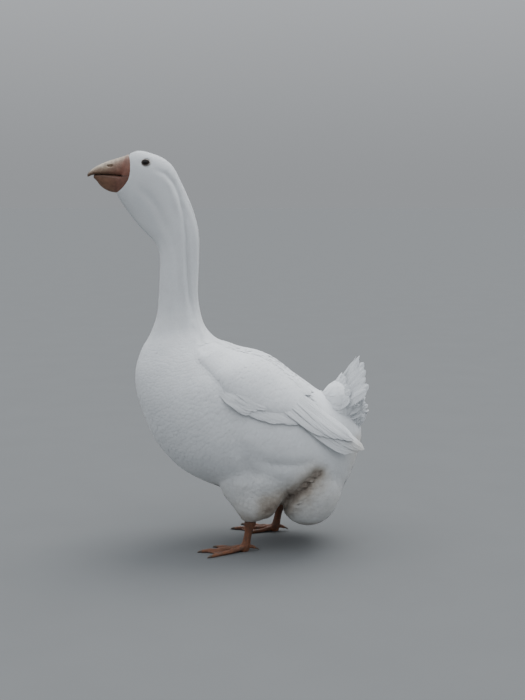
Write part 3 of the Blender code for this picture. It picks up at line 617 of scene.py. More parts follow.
class Lie:
    """Row, angle and headward-to-tailward way of places on the body, by the nearest of many."""

    def __init__(self):
        ts = np.linspace(0, len(BODY) - 1, 521)
        ways = turn(120)
        self.spots = body_point(BODY, ts[:, None], ways[None, :])
        self.flow = unit(np.gradient(self.spots, axis=0)).reshape(-1, 3)
        self.t = np.repeat(ts, len(ways))
        self.angle = np.tile(ways, len(ts))
        self.spots = self.spots.reshape(-1, 3)
        self.tree = KDTree(len(self.spots))
        for i, spot in enumerate(self.spots):
            self.tree.insert(spot, i)
        self.tree.balance()

    def of(self, places):
        found = [self.tree.find(place) for place in places]
        which = np.array([hit[1] for hit in found])
        away = np.array([hit[2] for hit in found])
        return self.t[which], self.angle[which], self.flow[which], away


def coat_depth(t):
    """Depth of the coat over the skin at rows t."""
    return curve(t, COAT_DEPTH) / 1000


def off_line(line, places):
    """Distance of places from a line in the side view, the line's own value there, and the side."""
    count = len(places)
    nearest, value, side = np.full(count, np.inf), np.zeros(count), np.zeros(count)
    for (x1, z1, first), (x2, z2, second) in zip(line, line[1:]):
        dx, dz = x2 - x1, z2 - z1
        share = np.clip(((places[:, 0] - x1) * dx + (places[:, 2] - z1) * dz) / (dx * dx + dz * dz), 0, 1)
        ex, ez = places[:, 0] - x1 - share * dx, places[:, 2] - z1 - share * dz
        away = np.hypot(ex, ez)
        closer = away < nearest
        nearest = np.where(closer, away, nearest)
        value = np.where(closer, first + (second - first) * share, value)
        side = np.where(closer, np.sign(dx * ez - dz * ex), side)
    return nearest, value, side


def creased(places):
    """Metres that the skin sinks by in its creases, with a soft ridge along one side of each."""
    sink = np.zeros(len(places))
    for width, ridge, line in (*CREASES, GROOVE):
        away, depth, side = off_line(line, places)
        share = away * 1000 / width
        sink += depth / 1000 * (np.exp(-(share**2)) - ridge * (side < 0) * np.exp(-((share - 2.2) ** 2)))
    return sink


def folds(t, angle):
    """Metres that the skin rises or sinks by in the fine furrows of the neck and over the cheek."""
    side = np.abs(np.where(angle > math.pi, 2 * math.pi - angle, angle))
    on_neck = eased((t - 4.6) / 1.6) * (1 - eased((t - 11.5) / 2.0))
    phase = 13 * side + 1.15 * t + 0.5 * np.sin(1.7 * t + 3 * side)
    groove = (0.5 + 0.5 * np.cos(phase)) ** 2.2
    rise = -0.0008 * groove * on_neck * eased((2.75 - side) / 0.5)
    cheek = np.exp(-(((t - 3.6) / 1.1) ** 2) - ((side - 1.75) / 0.4) ** 2)
    return rise + 0.0012 * cheek


def soil_and_shade(places):
    """How much the plumage is darkened at places: by dirt and painted shade in the groove behind the thigh,
    behind the thigh and among the legs, darker low down, and by dirt on the wing tips.
    """
    away, depth, _ = off_line(GROOVE[2], places)
    x, z = places[:, 0], places[:, 2]
    spread = 0.026 + 0.016 * eased((0.170 - z) / 0.060)
    # dirt and painted shade along the groove, darkest in its deepest part
    groove = 0.58 * np.exp(-((away / spread) ** 2)) + 0.22 * np.exp(-((away / 0.011) ** 2))
    groove = eased(depth / 8) * groove
    # dirt and painted shade behind the thigh and low down among the legs
    behind_thigh = 0.78 * np.exp(-(((x - 0.062) / 0.042) ** 2)) * eased((0.150 - z) / 0.060)
    legs = 0.62 * eased((0.120 - z) / 0.075) * eased((0.125 - x) / 0.040)
    paunch = 0.62 * eased((0.072 - z) / 0.030)
    belly = 0.22 * eased((0.190 - z) / 0.100)
    wing_tips = 0.30 * eased((x - 0.195) / 0.035) * eased((0.235 - z) / 0.02)
    return np.clip(np.maximum.reduce((groove, behind_thigh, legs, paunch, belly, wing_tips)), 0, 1)


def make_skin(lie, drape):
    """One skin over head, neck, trunk, thighs, wing cores and rump."""
    pieces = [lofted(BODY, 8, 96), lofted(TAIL_CORE, 8, 40)]
    ts = np.linspace(0, len(THIGH) - 1, 50)[:, None]
    for side, _ in SIDES:
        pieces.append(ball(mirrored(LOBE_AT, side), LOBE_SIZE))
        pieces.append(tube_grid(limb_point(THIGH, ts, turn(56)[None, :], side, LEG_SHIFT[side])))
        pieces.append(wing_core(drape, side))
    points, faces = remeshed(pieces, SKIN_VOXEL)
    t, angle, _, away = lie.of(points)
    onto_legs = (points[:, 2] < 0.17) & (points[:, 2] > 0.066)
    points = relaxed(points, faces, 14, np.where(onto_legs, 0.9, 0.35))
    normals = point_normals(points, faces)
    depth = coat_depth(t)
    depth = np.where(points[:, 2] < 0.11, depth * eased((points[:, 2] - 0.052) / 0.05), depth)
    winged = eased((away - 0.0015) / 0.003) * (points[:, 2] > 0.19) * (t > 14)
    depth = depth * (1 - 0.8 * winged)
    rise = folds(t, angle) * (1 - eased((away - 0.002) / 0.004))
    sink = creased(points) * np.where(points[:, 2] > 0.40, 1.0, 1 - 0.8 * winged)
    eye_hollow = eased((0.0088 - np.linalg.norm(off_eye(points), axis=1)) / 0.0024)
    sink = sink + 0.0045 * eye_hollow
    points = points + normals * (rise - depth - sink)[:, None]
    return relaxed(points, faces, 2, 0.5), faces


# Small feathers


def coat_of(t):
    """Length, half width and spacing of the feathers at rows t."""
    rows, *sizes = zip(*COAT)
    return [np.interp(t, rows, values) / 1000 for values in sizes]


def body_lattice():
    """Feather places on the body in staggered rows, as (t, angle)."""
    fine = np.linspace(0, len(BODY) - 1.4, 2000)
    line = (body_point(BODY, fine, 1.2) + body_point(BODY, fine, 2.4) + body_point(BODY, fine, 0.2)) / 3
    steps = np.linalg.norm(np.diff(line, axis=0), axis=1)
    spacing = coat_of(fine)[2]
    rows = np.concatenate(([0], np.cumsum(steps / spacing[1:] * 1.12)))
    ts = np.interp(np.arange(0.2, rows[-1]), rows, fine)
    all_t, all_angle = [], []
    ways = turn(180)
    for k, t in enumerate(ts):
        ring = body_point(BODY, t, ways)
        around = run_along(np.concatenate((ring, ring[:1])))
        count = max(12, round(around[-1] / coat_of(t)[2]))
        share = (np.arange(count) + 0.5 * (k % 2) + rng.uniform(-0.3, 0.3, count)) / count
        all_angle.append(np.interp(share % 1, around / around[-1], np.append(ways, 2 * math.pi)))
        step = (ts[min(k + 1, len(ts) - 1)] - ts[max(k - 1, 0)]) / 2
        all_t.append(t + rng.uniform(-0.3, 0.3, count) * step)
    return np.clip(np.concatenate(all_t), 0.02, len(BODY) - 1.2), np.concatenate(all_angle)


def thigh_share(places):
    """How much a place belongs to a thigh and not to the trunk."""
    share = np.zeros(len(places))
    for side, _ in SIDES:
        centre = read_rows(THIGH, np.interp(places[:, 2], [0.062, 0.190], [5, 0]))
        dx = (places[:, 0] - centre[:, 0] - LEG_SHIFT[side]) / (centre[:, 3] + 0.004)
        dy = (places[:, 1] - side * centre[:, 1]) / (centre[:, 4] + 0.004)
        inside = (np.hypot(dx, dy) < 1.05) & (places[:, 1] * side > 0)
        share = np.maximum(share, inside * (1 - eased((places[:, 2] - 0.115) / 0.05)))
    return share


def wing_share(drape, places):
    """Whether places lie on a wing core."""
    x, angle = drape.place(places)
    rows = np.array(WING_CORE)
    middle = np.interp(x, rows[:, 0], rows[:, 1])
    half = np.interp(x, rows[:, 0], rows[:, 2], left=0, right=0)
    return (np.abs(np.degrees(angle) - middle) < half + 1.5) & (x > -0.079) & (x < 0.142)


def bake_place(tile, u, v):
    """A place on the unwrap: a tile's corner and size, and shares across it."""
    x, y, wide, high = tile
    return np.stack(np.broadcast_arrays(x + wide * u, y + high * v), axis=-1)


def wing_place(side, x, angle):
    """The same for a place on a wing."""
    return bake_place(WING_TILE[side], (x + 0.09) / 0.35, angle / 2.4)


# Tiles of the unwrap that the bake map follows, as (corner, size), and a tuft's patch on it
BODY_TILE = (0.02, 0.02, 0.96, 0.46)
WING_TILE = {-1: (0.02, 0.52, 0.40, 0.20), 1: (0.02, 0.76, 0.40, 0.20)}
THIGH_TILE = {-1: (0.44, 0.52, 0.12, 0.20), 1: (0.44, 0.76, 0.12, 0.20)}
LOBE_TILE = {-1: (0.58, 0.52, 0.12, 0.20), 1: (0.58, 0.76, 0.12, 0.20)}
TAIL_TILE = (0.72, 0.52, 0.26, 0.24)
RUMP_TILE = (0.72, 0.78, 0.26, 0.18)
PATCH = 0.003
MOST_TRIANGLES = 190000
CAMBER = 0.05
# Blade outlines: faces across, then shares of the length, of the half width and of the height
CONTOUR = (4, ((0, 0.50, -0.30), (0.28, 0.90, 0.35), (0.55, 1.0, 0.75), (0.78, 0.93, 0.95),
               (0.92, 0.66, 0.96), (1, 0.24, 0.80)))
SILK = (2, ((0, 0.70, -0.25), (0.45, 1.0, 0.65), (0.82, 0.80, 0.95), (1, 0.25, 0.82)))
DOWNY = (2, ((0, 0.60, -0.25), (0.35, 1.0, 0.50), (0.65, 0.82, 0.88), (0.86, 0.48, 0.96), (1, 0.10, 0.80)))


def blades(ground, roots, ways, length, half, high, outline, ruffle):
    """Curved blades that follow the ground from root to tip, as a grid of points for each, and which
    of them do."""
    start, up = ground.nearest(roots)
    way = unit(ways - up * (ways * up).sum(-1, keepdims=True))
    spots, ups = [start], [up]
    near = np.ones(len(roots), dtype=bool)
    for share in (0.5, 1.0):
        target = start + way * (length * share)[:, None]
        hit, normal = ground.nearest(target)
        near &= np.linalg.norm(hit - target, axis=1) < 0.35 * length * share
        near &= (normal * up).sum(-1) > 0.1
        spots.append(hit)
        ups.append(normal)
    across, shape = outline
    share, width, rise = (np.array(column) for column in zip(*shape))
    s = share[None, :, None]
    line = (spots[0][:, None] * (1 - s) * (1 - 2 * s) + spots[1][:, None] * 4 * s * (1 - s)
            + spots[2][:, None] * s * (2 * s - 1))
    normal = unit(ups[0][:, None] * (1 - s) + ups[2][:, None] * s)
    aside = unit(np.cross(normal, (spots[2] - spots[0])[:, None]))
    c = np.linspace(-1, 1, across + 1)[None, None, :, None]
    width = (half[:, None] * width)[..., None, None]
    roll = np.tan(ruffle)[:, None, None, None]
    height = (high[:, None] * rise)[..., None, None]
    lift = height + width * (roll * c * s[..., None] - CAMBER * c * c)
    return (line[:, :, None] + aside[:, :, None] * (c * width) + normal[:, :, None] * lift)[near], near


def feather_piece(name, points, along, across, bake, look):
    """Blades as one joined mesh, with the bake's map, the blade's own map, a tone each and their darkening
    by dirt and painted shade.
    """
    count, rows, columns = points.shape[:3]
    first = (np.arange(count) * rows * columns)[:, None, None]
    faces = (grid_faces(rows, columns, False)[None] + first).reshape(-1, 4)
    made = quad_object(name, points.reshape(-1, 3), faces)
    own = np.stack(np.broadcast_arrays(np.array(across)[None, :], np.array(along)[:, None]), -1)
    patch = np.array(bake)[:, None, None, :] + PATCH * (own - 0.5)[None]
    add_map(made, "OFBake", patch.reshape(-1, 2))
    add_map(made, "blade", np.broadcast_to(own, (count, rows, columns, 2)).reshape(-1, 2))
    add_value(made, "tone", np.repeat(rng.uniform(0, 1, count), rows * columns))
    add_value(made, "soil_and_shade", soil_and_shade(points.reshape(-1, 3)))
    return dress(made, look)


def dress(made, look):
    made.data.materials.clear()
    made.data.materials.append(look)
    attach(made, "root")
    return made


def feathered(name, ground, roots, ways, size, outline, ruffle, bake, look):
    """Blades of the given lengths, half widths and heights, in pieces of limited size."""
    across, shape = outline
    most = MOST_TRIANGLES // (2 * (len(shape) - 1) * across)
    order = np.argsort(rng.uniform(size=len(roots)))
    for k in range(0, len(roots), most):
        pick = order[k : k + most]
        points, near = blades(ground, roots[pick], ways[pick], *(values[pick] for values in size),
                              outline, ruffle[pick])
        ground.taken.append(roots[pick][near])
        label = name if len(roots) <= most else name + "_" + "abcdefgh"[k // most]
        feather_piece(label, points, [row[0] for row in shape], np.linspace(0, 1, across + 1),
                      bake[pick][near], look)


def off_eye(places):
    """Vectors from the axis of the eye on their side to places, stretched so that the lids are round."""
    found = np.zeros_like(places)
    for side, _ in SIDES:
        outward, back, up = eye_axes(side)
        away = places - mirrored(EYE_AT, side)
        flat = np.outer(away @ back, back) + np.outer(away @ up, up) / LID_FLATTEN
        here = places[:, 1] * side > 0
        found[here] = flat[here]
        found[here & (away @ outward < -0.004)] = 1.0
    return found


def coat_body(ground, drape, look):
    """Head, neck and trunk feathers, from velvet on the face to broad ones on the trunk."""
    t, angle = body_lattice()
    spots = body_point(BODY, t, angle)
    ahead = body_point(BODY, np.minimum(t + 0.05, len(BODY) - 1), angle) - spots
    aside = body_point(BODY, t, angle + 0.02) - body_point(BODY, t, angle - 0.02)
    outward = unit(np.cross(ahead, aside))
    outward *= np.sign((outward * (spots - body_point(BODY, t, angle + math.pi))).sum(-1, keepdims=True))
    roots, seen = ground.outermost(spots, outward, 0.05)
    keep = seen & ~before_margin(roots)
    keep &= thigh_share(roots) < 0.5 + rng.uniform(-0.35, 0.35, len(roots))
    keep &= np.linalg.norm(off_eye(roots), axis=1) > EYE_BARE
    keep &= ~(wing_share(drape, roots) & (t > 13) & (roots[:, 2] > 0.17))
    proud = ((roots - spots) * outward).sum(-1)
    keep &= ~((proud > 0.009) & (roots[:, 0] > 0.06) & (roots[:, 2] < 0.20))
    t, angle, roots, ahead = t[keep], angle[keep], roots[keep], unit(ahead[keep])
    radial = off_eye(roots)
    near = np.exp(-(((np.linalg.norm(radial, axis=1) - EYE_BARE) / 0.006) ** 2))
    ahead = unit(ahead + 0.9 * unit(radial) * near[:, None])
    low = (roots[:, 2] < 0.16) & (t > 16)
    length, half, _ = coat_of(t)
    length = length * rng.uniform(0.88, 1.12, len(t))
    half = half * rng.uniform(0.92, 1.08, len(t)) * np.where(low, 0.85, 1.0)
    reaches = (0.006, 0.014, 0.022)
    onto_wing = np.mean([wing_share(drape, roots + ahead * reach) for reach in reaches], axis=0)
    onto_wing = onto_wing * (t > 13) * (roots[:, 2] > 0.17)
    high = coat_depth(t) * rng.uniform(0.97, 1.02, len(t)) * (1 - 0.6 * onto_wing)
    ahead = unit(ahead + rng.normal(0, 0.05, (len(t), 3)))
    ruffle = rng.normal(0, 0.015, len(t)) + np.where(low, rng.normal(0, 0.02, len(t)), 0)
    fine = np.linspace(0, len(BODY) - 1, 400)
    line = (body_point(BODY, fine, 0.0) + body_point(BODY, fine, math.pi)) / 2
    run = run_along(line)
    bake = bake_place(BODY_TILE, np.interp(t, fine, run / run[-1]), angle / (2 * math.pi))
    for name, first, last, outline in (("head_feathers", -1, 5.0, SILK), ("neck_feathers", 5.0, 12.2, SILK),
                                       ("trunk_feathers", 12.2, 30, CONTOUR)):
        pick = (t >= first) & (t < last)
        size = (length[pick], half[pick], high[pick])
        feathered(name, ground, roots[pick], ahead[pick], size, outline, ruffle[pick], bake[pick], look)


def coat_lobes(ground, lie, look):
    """Soft feathers over the hanging fat lobes, lying as those of the belly do."""
    index = np.arange(LOBE_FEATHERS) + 0.5
    level = 1 - 2 * index / len(index)
    way = index * math.pi * (1 + math.sqrt(5))
    flat = np.sqrt(1 - level**2)
    even = np.stack((flat * np.cos(way), flat * np.sin(way), level), -1)
    for side, letter in SIDES:
        spots = mirrored(LOBE_AT, side) + even * np.array(LOBE_SIZE)
        roots, _ = ground.nearest(spots)
        _, _, flow, away = lie.of(roots)
        keep = (np.linalg.norm(roots - spots, axis=1) < OFF_FORM) & (away > 0.005)
        keep &= (roots[:, 1] * side > -0.004) & (thigh_share(roots) < 0.5)
        roots, flow = roots[keep], flow[keep]
        bake = bake_place(LOBE_TILE[side], (way[keep] / (2 * math.pi)) % 1, 0.5 + 0.5 * level[keep])
        count = len(roots)
        size = drawn(count, (0.019, 0.026), (0.0034, 0.0048), (0.0018, 0.0029))
        feathered("lobe_feathers_" + letter, ground, roots, flow + rng.normal(0, 0.14, (count, 3)), size,
                  DOWNY, rng.normal(0, 0.05, count), bake, look)


def coat_gaps(ground, lie, drape, look):
    """Feathers wherever the others have left the skin of the trunk bare."""
    places = ground.points[rng.permutation(len(ground.points))]
    places = places[(places[:, 0] > -0.10) & (places[:, 2] > 0.075) & (places[:, 2] < 0.33)]
    places = places[~wing_share(drape, places)]
    cells = np.floor(places / BARE_CELL).astype(int)
    covered = np.floor(np.concatenate(ground.taken) / BARE_CELL).astype(int)
    taken = {tuple(cell) for cell in covered.tolist()}
    nearby = list(product((-1, 0, 1), repeat=3))
    chosen = []
    for n, (a, b, c) in enumerate(cells.tolist()):
        if not any((a + i, b + j, c + k) in taken for i, j, k in nearby):
            taken.add((a, b, c))
            chosen.append(n)
    roots = places[chosen]
    t, angle, flow, _ = lie.of(roots)
    flow = np.where(((roots[:, 0] > 0.185) & (roots[:, 2] > 0.262))[:, None], (0.35, 0.0, 0.95), flow)
    bake = bake_place(BODY_TILE, t / len(BODY), angle / (2 * math.pi))
    count = len(roots)
    size = drawn(count, (0.020, 0.024), (0.0056, 0.0066), (0.0020, 0.0024))
    feathered("filling_feathers", ground, roots, flow + rng.normal(0, 0.06, (count, 3)), size,
              CONTOUR, rng.normal(0, 0.015, count), bake, look)


def coat_rump(ground, look):
    """Soft feathers over the rump stub, up and round the root of the tail."""
    grids = np.meshgrid(np.linspace(0.1, 3.6, 15), turn(44), indexing="ij")
    t, angle = (grid.ravel() for grid in grids)
    t = t + rng.uniform(-0.1, 0.1, len(t))
    angle = angle + rng.uniform(-0.06, 0.06, len(t)) + 0.07 * (np.round(t * 4) % 2)
    spots = body_point(TAIL_CORE, t, angle)
    outward = unit(spots - body_point(TAIL_CORE, t, angle + math.pi))
    roots, seen = ground.outermost(spots, outward, 0.03)
    keep = seen & (np.linalg.norm(roots - spots, axis=1) < OFF_FORM)
    roots, t, angle = roots[keep], t[keep], angle[keep]
    ways = unit(body_point(TAIL_CORE, t + 0.2, angle) - body_point(TAIL_CORE, t - 0.2, angle)
                + (0.004, 0, 0) + rng.normal(0, 0.0006, (len(t), 3)))
    count = len(t)
    size = drawn(count, (0.024, 0.032), (0.0055, 0.0070), (0.0016, 0.0024))
    bake = bake_place(RUMP_TILE, t / 4, (angle % (2 * math.pi)) / (2 * math.pi))
    feathered("rump_feathers", ground, roots, ways, size, CONTOUR, rng.normal(0, 0.03, count), bake, look)


def coat_thighs(ground, look):
    """Downy feathers round the thighs, shorter towards the shank."""
    levels = [THIGH_COAT[0]]
    while levels[-1] > THIGH_COAT[1]:
        levels.append(levels[-1] - curve(levels[-1], THIGH_SPACING))
    levels.pop()
    for side, letter in SIDES:
        roots, bake = [], []
        for k, z in enumerate(levels):
            row = np.interp(z, [r[2] for r in THIGH[::-1]], np.arange(len(THIGH))[::-1])
            spacing = curve(z, THIGH_SPACING)
            girth = 2 * math.pi * float(read_rows(THIGH, row)[3:].mean())
            count = max(14, round(girth / spacing))
            jitter = rng.uniform(-0.3, 0.3, count) * 2 * math.pi / count
            ways = turn(count, math.pi / count * (k % 2)) + jitter
            heights = row + rng.uniform(-0.4, 0.4, count) * spacing / 0.024
            roots.append(limb_point(THIGH, np.clip(heights, 0, 5), ways, side, LEG_SHIFT[side]))
            around = ways % (2 * math.pi) / (2 * math.pi)
            bake.append(bake_place(THIGH_TILE[side], k / len(levels), around))
        roots, bake = np.concatenate(roots), np.concatenate(bake)
        where, _ = ground.nearest(roots)
        keep = (np.linalg.norm(where - roots, axis=1) < OFF_THIGH) & (thigh_share(where) > 0.02)
        roots, bake = where[keep], bake[keep]
        low = 1 - eased((roots[:, 2] - 0.064) / 0.045)
        count = len(roots)
        sway = [rng.normal(0, spread, count) for spread in (0.12, 0.12, 0.05)]
        ways = unit(np.stack((0.55 - 0.3 * low + sway[0], sway[1], -1.0 + sway[2]), -1))
        length = (0.022 - 0.0140 * low) * rng.uniform(0.85, 1.15, count)
        half = (0.0042 - 0.0026 * low) * rng.uniform(0.85, 1.15, count)
        high = (0.0030 - 0.0018 * low) * rng.uniform(0.8, 1.1, count)
        feathered("thigh_feathers_" + letter, ground, roots, ways, (length, half, high),
                  DOWNY, rng.normal(0, 0.04, count), bake, look)


def coat_wings(ground, drape, look):
    """Small coverts over the front of each wing, growing to the rear."""
    for side, letter in SIDES:
        roots, ways, grown, bake = [], [], [], []
        x, k = COVERTS_OVER[0], 0
        while x < COVERTS_OVER[1]:
            step = curve(x, COVERT_SPACING)
            row = np.interp(x, [r[0] for r in WING_CORE], np.arange(len(WING_CORE)))
            middle, half = read_rows(WING_CORE, row)[1:3]
            low = math.radians(max(middle - half - 3.0, 5))
            high = math.radians(middle + half + 3.0)
            reach = float(drape.radius(np.array(x), np.array((low + high) / 2)))
            count = max(4, round((high - low) * reach / step))
            share = (np.arange(count) + 0.5 * (k % 2) + rng.uniform(-0.25, 0.25, count)) / count
            angle = low + (high - low) * share
            spot_x = x + rng.uniform(-0.3, 0.3, count) * step
            spots = drape.point(spot_x, angle, 0.0, side)
            roots.append(ground.outermost(spots, drape.normal(spot_x, angle, side), 0.03)[0])
            slope = curve(np.degrees(angle), COVERT_SLOPE)
            further = drape.point(spot_x + 0.01, angle + slope * 0.01 / reach, 0.0, side)
            ways.append(unit(further - spots))
            grown.append(np.full(count, x))
            bake.append(wing_place(side, x, angle))
            x += step
            k += 1
        roots, ways, grown, bake = (np.concatenate(part) for part in (roots, ways, grown, bake))
        count = len(roots)
        half = curve(grown, COVERT_HALF)
        length = curve(grown, COVERT_LENGTH) * rng.uniform(0.9, 1.1, count)
        high = curve(grown, COVERT_HEIGHT) * rng.uniform(0.96, 1.03, count)
        feathered("wing_coverts_" + letter, ground, roots, ways + rng.normal(0, 0.03, (count, 3)),
                  (length, half, high), CONTOUR, rng.normal(0, 0.015, count), bake, look)


# Large feathers of wing and tail

ACROSS = np.array((-1, -0.86, -0.66, -0.42, -0.2, -0.05, 0, 0.05, 0.2, 0.42, 0.66, 0.86, 1))
SHAFT = np.array((0, 0, 0, 0, 0, 0.25, 1, 0.25, 0, 0, 0, 0, 0))
ALONG = 26


def breadth(s):
    """Share of a large feather's half width along it: narrow root, round tip."""
    tip = np.maximum(0.0, s - 0.62) / 0.38
    return np.minimum(0.5 + 1.6 * s, 0.10 + 0.90 * np.sqrt(np.maximum(0, 1 - tip**2.2)))


def large_feather(place, half_width, seed):
    """A blade with a raised shaft, slightly ragged edges and now and then a small nick in one edge, over
    place(s, offset).
    """
    local = np.random.default_rng(seed)
    s = np.linspace(0, 1, ALONG)[:, None]
    c = ACROSS[None, :]
    ragged = 1 + local.uniform(-0.025, 0.015, (ALONG, 2)) * (s > 0.2)
    edge = np.where(c < 0, ragged[:, :1], ragged[:, 1:])
    offset = c * half_width * breadth(s) * edge
    split = local.uniform(0.45, 0.95)
    which = local.choice((-1, 1))
    nick = np.exp(-(((s - split) / 0.018) ** 2)) * (c * which > 0.6)
    offset = offset * (1 - 0.20 * nick * local.choice((0, 0, 1)))
    points, normal = place(s + 0 * c, offset)
    wave = 0.0003 * np.sin(9 * s + 4 * c + 6 * local.uniform())
    rise = 0.00050 * SHAFT * (1 - 0.7 * s) - 0.07 * half_width * c * c * breadth(s) + wave
    return points + normal * rise[..., None]


def wing_feathers(drape, side, letter, look):
    """The large feathers of a folded wing, each lying on the one below it."""
    blades_made, bake = [], []
    for tier, (_, count, root_a, root_b, tip_a, tip_b, half_width, height) in enumerate(WING_TIERS):
        for i in range(count):
            share = i / (count - 1)
            local = np.random.default_rng(100 * tier + i)
            root_x = root_a[0] + (root_b[0] - root_a[0]) * share
            root_angle = math.radians(root_a[1] + (root_b[1] - root_a[1]) * share)
            tip_x = tip_a[0] + (tip_b[0] - tip_a[0]) * share + 0.003 * math.sin(5.1 * i + 1.7 * tier)
            tip_angle = math.radians(tip_a[1] + (tip_b[1] - tip_a[1]) * share + local.uniform(-1.2, 1.2))
            bow = local.uniform(-0.03, 0.03)
            jitter = 0.0004 * local.uniform()
            folded = 0.0012 * ((count - 1) // 4 - i // 4) if tier in (0, 2) else 0.0
            settling = 0.0 if tier < 3 else 0.92 - 0.72 * eased(2.5 * share)
            tuck = {0: 0.9, 1: 0.35}.get(i, 0.0)

            def place(s, offset):
                x = root_x + (tip_x - root_x) * s
                angle = root_angle + (tip_angle - root_angle) * (s + bow * np.sin(math.pi * s))
                reach = drape.radius(x, angle)
                run = unit(np.stack((tip_x - root_x + 0 * s, (tip_angle - root_angle) * reach), -1))
                x, angle = x - run[..., 1] * offset, angle + run[..., 0] * offset / reach
                begin, width, least = DORSAL_FROM
                dorsal = least + (1 - least) * eased((angle - begin) / width)
                rise = eased(s / (ROOT_RISE + 0.22 * share))
                stepped = folded * eased((s - 0.15) / 0.40)
                lift = (height * (1 - settling * s * s) + stepped) * dorsal * rise - 0.0015 * (1 - rise)
                lift = lift + SHINGLE * dorsal * offset + jitter + tuck * np.minimum(offset, 0)
                lift = lift - 0.0022 * (1 - eased((angle - 0.14) / 0.22))
                return drape.point(x, angle, lift, side), drape.normal(x, angle, side)

            blades_made.append(large_feather(place, half_width, 31 * tier + i))
            bake.append(wing_place(side, root_x, root_angle))
    made = feather_piece("wing_feathers_" + letter, np.stack(blades_made), np.linspace(0, 1, ALONG),
                         ACROSS / 2 + 0.5, bake, look)
    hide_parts("wing_" + letter)


def heading(share, turned):
    """The way a tail feather points at that share of the fan."""
    lift = math.radians(TAIL_ELEVATION + turned - TAIL_DROP * share**2)
    yaw = math.radians(TAIL_YAW * share)
    return np.array((math.cos(lift) * math.cos(yaw), -math.cos(lift) * math.sin(yaw), math.sin(lift)))


def tail_feathers(look):
    """The fan of the tail, tier on tier from the quills down to the vent."""
    blades_made, bake = [], []
    for tier, (_, count, length, half_width, raised, turned) in enumerate(TAIL_TIERS):
        for i in range(count):
            local = np.random.default_rng(500 + 100 * tier + i)
            share = 2 * i / (count - 1) - 1
            turned_so = turned + local.uniform(-2.0, 2.0)
            ahead = heading(share, turned_so)
            across = unit(heading(share + 0.05, turned_so) - heading(share - 0.05, turned_so))
            normal = unit(np.cross(across, ahead))
            layer = abs(i - (count - 1) / 2)
            root = np.array((TAIL_ROOT[0], -TAIL_ROOT_SPREAD * share, TAIL_ROOT[1]))
            root = root + normal * (raised - layer * TAIL_LAYER * 12 / count)
            reach = length * (1 - 0.20 * share**2) + local.uniform(-0.003, 0.003)

            def place(s, offset):
                droop = 0.004 * s * s * (1 - 0.4 * share**2) + 0.05 * offset
                points = root + ahead * (reach * s)[..., None] + across * offset[..., None]
                return points - normal * droop[..., None], normal + 0 * points

            blades_made.append(large_feather(place, half_width, 900 + 40 * tier + i))
            bake.append(bake_place(TAIL_TILE, 0.08 + 0.14 * tier, 0.5 + 0.45 * share))
    made = feather_piece("tail_feathers", np.stack(blades_made), np.linspace(0, 1, ALONG),
                         ACROSS / 2 + 0.5, bake, look)
    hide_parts("tail")


# Head


def eye_axes(side):
    """The ways out of the eye, back along the lids and up."""
    outward = unit(np.array((-0.18, side, 0.12)))
    back = unit(np.cross(np.cross((1.0, 0, 0), outward), outward))
    up = unit(np.cross(outward, back))
    if up[2] < 0:
        up = -up
    return outward, back, up


def make_eye(side, letter, look):
    """An eyeball in rings round its own axis, closer together over the front, with its angle as a value."""
    outward, back, up = eye_axes(side)
    centre = mirrored(EYE_AT, side)
    tilts = np.radians(np.concatenate((np.linspace(0.5, 60, 50), np.linspace(64, 179.5, 22))))
    ways = turn(64)
    around = np.cos(ways)[None, :, None] * back + np.sin(ways)[None, :, None] * up
    rays = np.cos(tilts)[:, None, None] * outward + np.sin(tilts)[:, None, None] * around
    made = mesh_object("eyeball_" + letter, *tube_grid(centre + rays * EYE_RADIUS))
    add_value(made, "from_axis", np.repeat(tilts, len(ways)))
    dress(made, look)
    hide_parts("eye_" + letter)


def make_lids(ground, side, letter, look):
    """Lids from a rounded margin on the eyeball out to the skin, with two fine folds."""
    outward, back, up = eye_axes(side)
    centre = mirrored(EYE_AT, side)
    ways = turn(72)
    wide = np.radians(LID_SPREAD[0]) * np.cos(ways)
    high = np.radians(LID_SPREAD[1] + np.where(np.sin(ways) > 0, -3, 1)) * np.sin(ways)
    tilt = np.hypot(wide, high)
    aside = unit(back * wide[:, None] + up * high[:, None])
    rings = []
    for less, out in LID_MARGIN:
        ray = outward * np.cos(tilt - less)[:, None] + aside * np.sin(tilt - less)[:, None]
        rings.append(centre + ray * (EYE_RADIUS + out))
    oval = 1 / np.hypot(aside @ back, aside @ up / LID_FLATTEN)
    for reach, lift in LID_SKIRT:
        flat = centre + aside * (reach * oval)[:, None] + outward * 0.004
        hit, normal = ground.nearest(flat)
        rings.append(hit + normal * lift)
    rings.insert(5, (rings[4] + rings[5]) / 2 + outward * 0.0003)
    rings = np.array(rings)
    made = mesh_object("lids_" + letter, rings.reshape(-1, 3), grid_faces(len(rings), len(ways), True))
    add_value(made, "from_margin", np.repeat(np.linspace(0, 1, len(rings)), len(ways)))
    dress(made, look)


